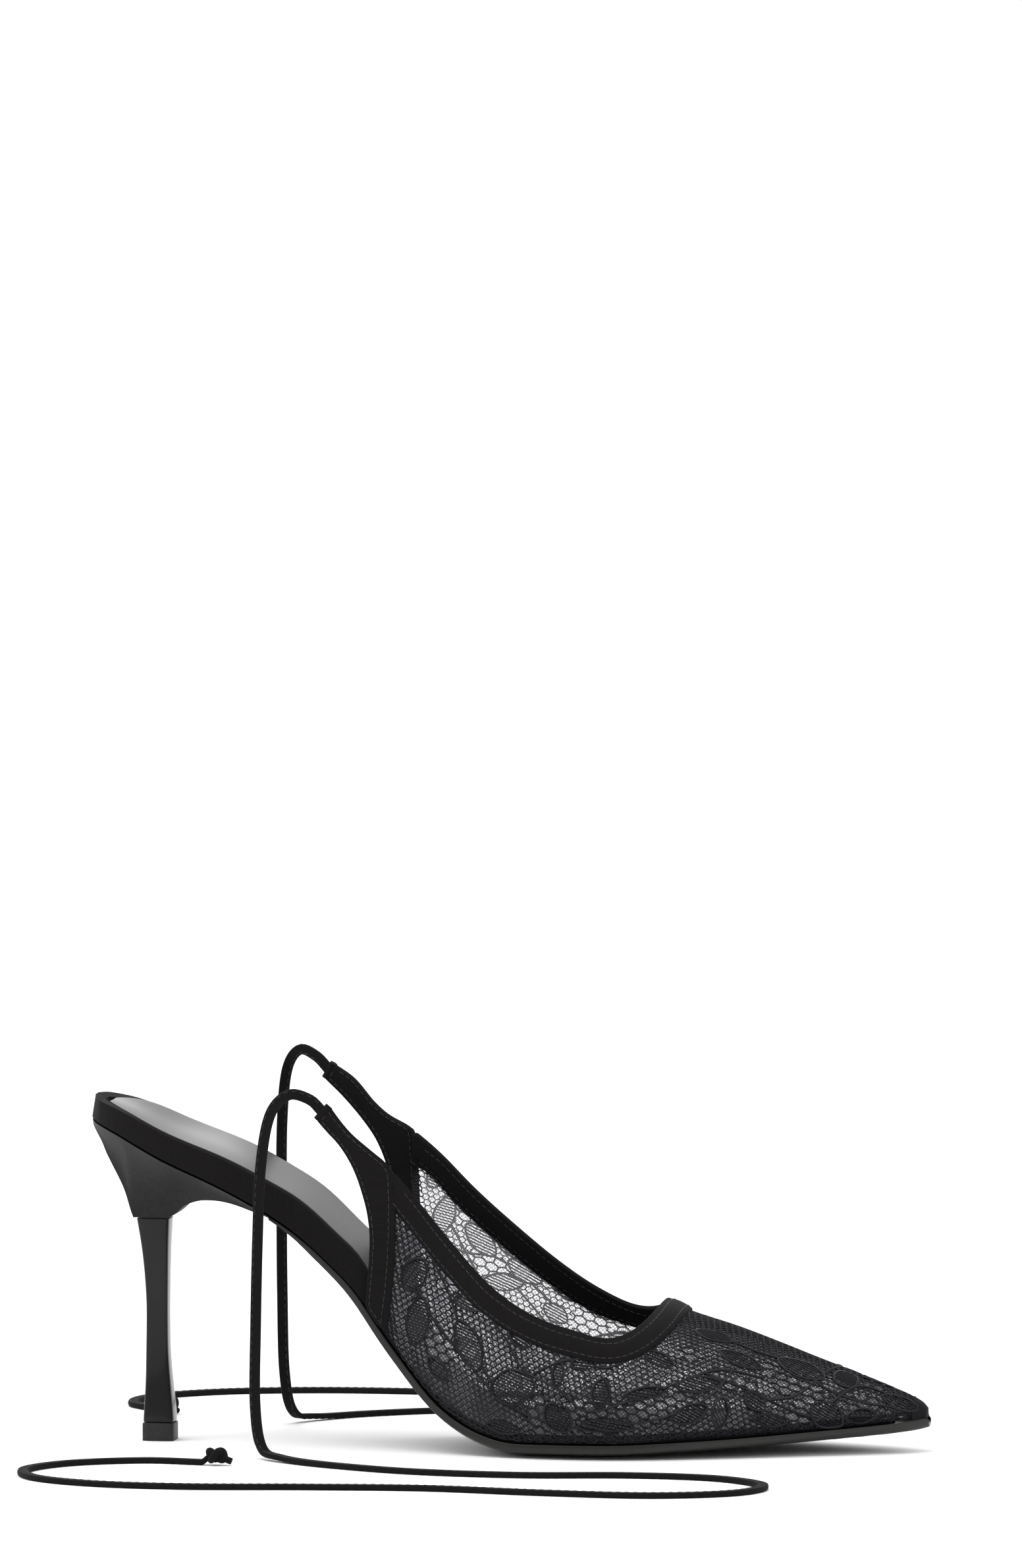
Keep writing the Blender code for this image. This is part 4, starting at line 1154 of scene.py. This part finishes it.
# x, y and height in mm
tieRoutes = {
    "left": (
        (-49.1, -23.1, 94.6), (-52.5, -24, 98), (-58, -26.8, 99.4), (-62.5, -30.8, 94), (-64.5, -34.2, 80),
        (-65, -36.6, 60), (-65.2, -38.6, 36), (-65, -40.8, 15), (-62.5, -45, 4), (-56, -52, 2),
        (-40, -64, 1.6), (-15, -76, 1.6), (15, -80, 1.6), (45, -76, 1.6), (70, -80, 1.6), (85, -96, 1.6),
        (80, -114, 1.6), (58, -124, 1.6), (28, -122, 1.6), (-5, -116, 1.6), (-38, -118, 1.6),
        (-70, -122, 1.6), (-96, -119, 1.6), (-115, -107, 1.6), (-121, -88, 1.6), (-112, -70, 1.6),
        (-93, -60, 1.6), (-76, -62, 1.6),
    ),
    "right": (
        (-54.7, 21.3, 102.3), (-58.4, 22.4, 105.8), (-63.6, 25.4, 107.2), (-68, 30.4, 101), (-70, 34, 86),
        (-70.6, 36.6, 64), (-70.8, 38.8, 38), (-70.6, 41.2, 15), (-69, 46, 4), (-64, 54, 2), (-50, 68, 1.6),
        (-28, 80, 1.6), (2, 86, 1.6), (32, 82, 1.6), (60, 80, 1.6), (86, 88, 1.6), (96, 106, 1.6),
        (84, 123, 1.6), (56, 130, 1.6), (24, 126, 1.6), (-8, 122, 1.6), (-40, 126, 1.6), (-72, 126, 1.6),
        (-100, 118, 1.6), (-118, 102, 1.6), (-121, 83, 1.6), (-110, 68, 1.6),
    ),
}


def strapSection(setup):
    # rounded flat section with a slight fold line on its upper face: across, out
    half, thick = setup["width"] / 2, setup["thickness"] / 2
    return [(-half, -0.35 * thick), (-0.86 * half, -thick), (0, -thick), (0.86 * half, -thick),
            (half, -0.35 * thick), (half, 0.35 * thick), (0.86 * half, thick), (0.25 * half, 0.92 * thick),
            (-0.25 * half, 0.92 * thick), (-0.86 * half, thick), (-half, 0.35 * thick)]


def sweep(pieceName, path, outs, section):
    # a strap through path whose flat face looks along outs, with a UV map in metres along and across
    ahead = unit(np.gradient(path, axis=0))
    outs = unit(outs - ahead * (outs * ahead).sum(1)[:, None])
    across = np.cross(ahead, outs)
    count = len(section)
    points = [tuple(p + a * u + o * v) for p, a, o in zip(path, across, outs) for u, v in section]
    faces = [tuple(range(count))[::-1], tuple(range(len(points) - count, len(points)))]
    for first in range(0, len(points) - count, count):
        for k in range(count):
            m = (k + 1) % count
            faces.append((first + k, first + m, first + count + m, first + count + k))
    mesh = bpy.data.meshes.new(pieceName)
    mesh.from_pydata(points, [], faces)
    piece = placePiece(pieceName, mesh)
    mapCloth(piece, np.repeat(lengthAlong(path), count), np.tile([u for u, v in section], len(path)))
    editWhole(piece, bpy.ops.mesh.normals_make_consistent, inside=False)
    return piece


def makeTies(setup, routes):
    stitches, lips = [], []
    for side, word in ((near, "left"), (far, "right")):
        path, length = smoothRoute(np.array(routes[word]) * mm, setup["spacing"])
        # the flat strap lies lower than the round solid that stands in for it
        low = np.clip(1 - (path[:, 2] - setup["solidRest"]) / setup["ease"], 0, 1)
        path[:, 2] = np.maximum(path[:, 2] - low * (setup["solidRest"] - setup["rest"]), setup["rest"])
        # it starts inside the tab
        back = (path[1] - path[0]) / np.linalg.norm(path[1] - path[0]) * setup["inside"]
        whole = np.vstack([path[0] - back, path[0] - back / 2, path])
        upright = np.clip((whole[:, 2] - setup["upright"]) / setup["ease"], 0, 1)[:, None]
        outs = upright * np.array([[0, side, 0]]) + (1 - upright) * np.array([[0, 0, 1.0]])
        strap = sweep("tieStrap" + word.capitalize(), whole, outs, strapSection(setup))
        # one row of stitches on each face, which ends short of tab and knot
        row = (whole + unit(np.cross(np.gradient(whole, axis=0), outs)) * setup["stitchedAt"])[3:-3]
        tree = treeOf(strap)
        for face in (1, -1):
            stitches += stitchAlong(tree, row, (outs * face)[3:-3], tieStitch)
        finishPiece(strap, "faille", "faille", "tie_" + word)
        knot = makeKnot(word, path, knotSetup)
        x, z = np.linspace(*setup["lip"][word], 9).T * mm
        lean = side * setup["lean"] * np.linspace(-0.5, 0.5, 9)
        lips.append((np.stack([x, path[0][1] + lean, z], axis=1), setup["lipRadius"], False))
        print("tie", word, round(length, 4))
    finishPiece(weaveThreads("tieStitches", stitches), "stitch", "faille")
    rolled = weaveThreads("tabLips", lips, 4)
    mapAround(rolled)
    finishPiece(rolled, "faille", "faille")


knotSetup = {
    "along": 2.35 * mm,      # half sizes of the loop that is pulled tight
    "across": 1.95 * mm,
    "high": 1.15 * mm,
    "loopStrand": 1.05,      # mm, radius of the rolled strap
    "tail": (0, 1.5 * mm, 3 * mm, 4.4 * mm),
    "tailSlant": (0.07, -0.35),      # aside and down, as shares of its way ahead
    "tailStrand": 0.95,
    "folds": (-0.65 * mm, 0, 0.65 * mm),     # how far from the middle the strap's folds lie
    "foldEnd": 1.5 * mm,
    "foldStrand": 0.75,
}


def makeKnot(word, path, setup):
    # an overhand knot pulled tight in the strap, with a short tail
    lowest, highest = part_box("tie_knot_" + word)
    centre = (lowest + highest) / 2
    ahead = Vector(path[-1] - path[-4]).normalized()
    across = Vector((-ahead.y, ahead.x, 0))
    loop = []
    for t in np.linspace(0, 2 * math.pi, 61)[:-1]:
        u = (math.sin(t) + 2 * math.sin(2 * t)) / 3 * setup["along"]
        v = (math.cos(t) - 2 * math.cos(2 * t)) / 3 * setup["across"]
        loop.append(centre + ahead * u + across * v - Vector((0, 0, math.sin(3 * t) * setup["high"])))
    aside, down = setup["tailSlant"]
    slant = ahead + across * aside + Vector((0, 0, down))
    tail = [centre + slant * way for way in setup["tail"]]
    runs = [(np.array(loop), setup["loopStrand"], True), (np.array(tail), setup["tailStrand"], False)]
    # the strap's folds gather from its end into the knot
    for fold in setup["folds"]:
        lead = [Vector(path[-3]), Vector(path[-1]), centre - ahead * setup["foldEnd"]]
        runs.append((np.array([point + across * fold for point in lead]), setup["foldStrand"], False))
    knot = weaveThreads("tieKnot" + word.capitalize(), runs, 3)
    mapAround(knot)
    return finishPiece(knot, "faille", "faille", "tie_knot_" + word)


makeTies(tieSetup, tieRoutes)
print("ties")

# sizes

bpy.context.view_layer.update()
meshes = [o.data for o in bpy.data.objects if o.type == "MESH"]
print("triangles", sum(len(p.vertices) - 2 for mesh in meshes for p in mesh.polygons))
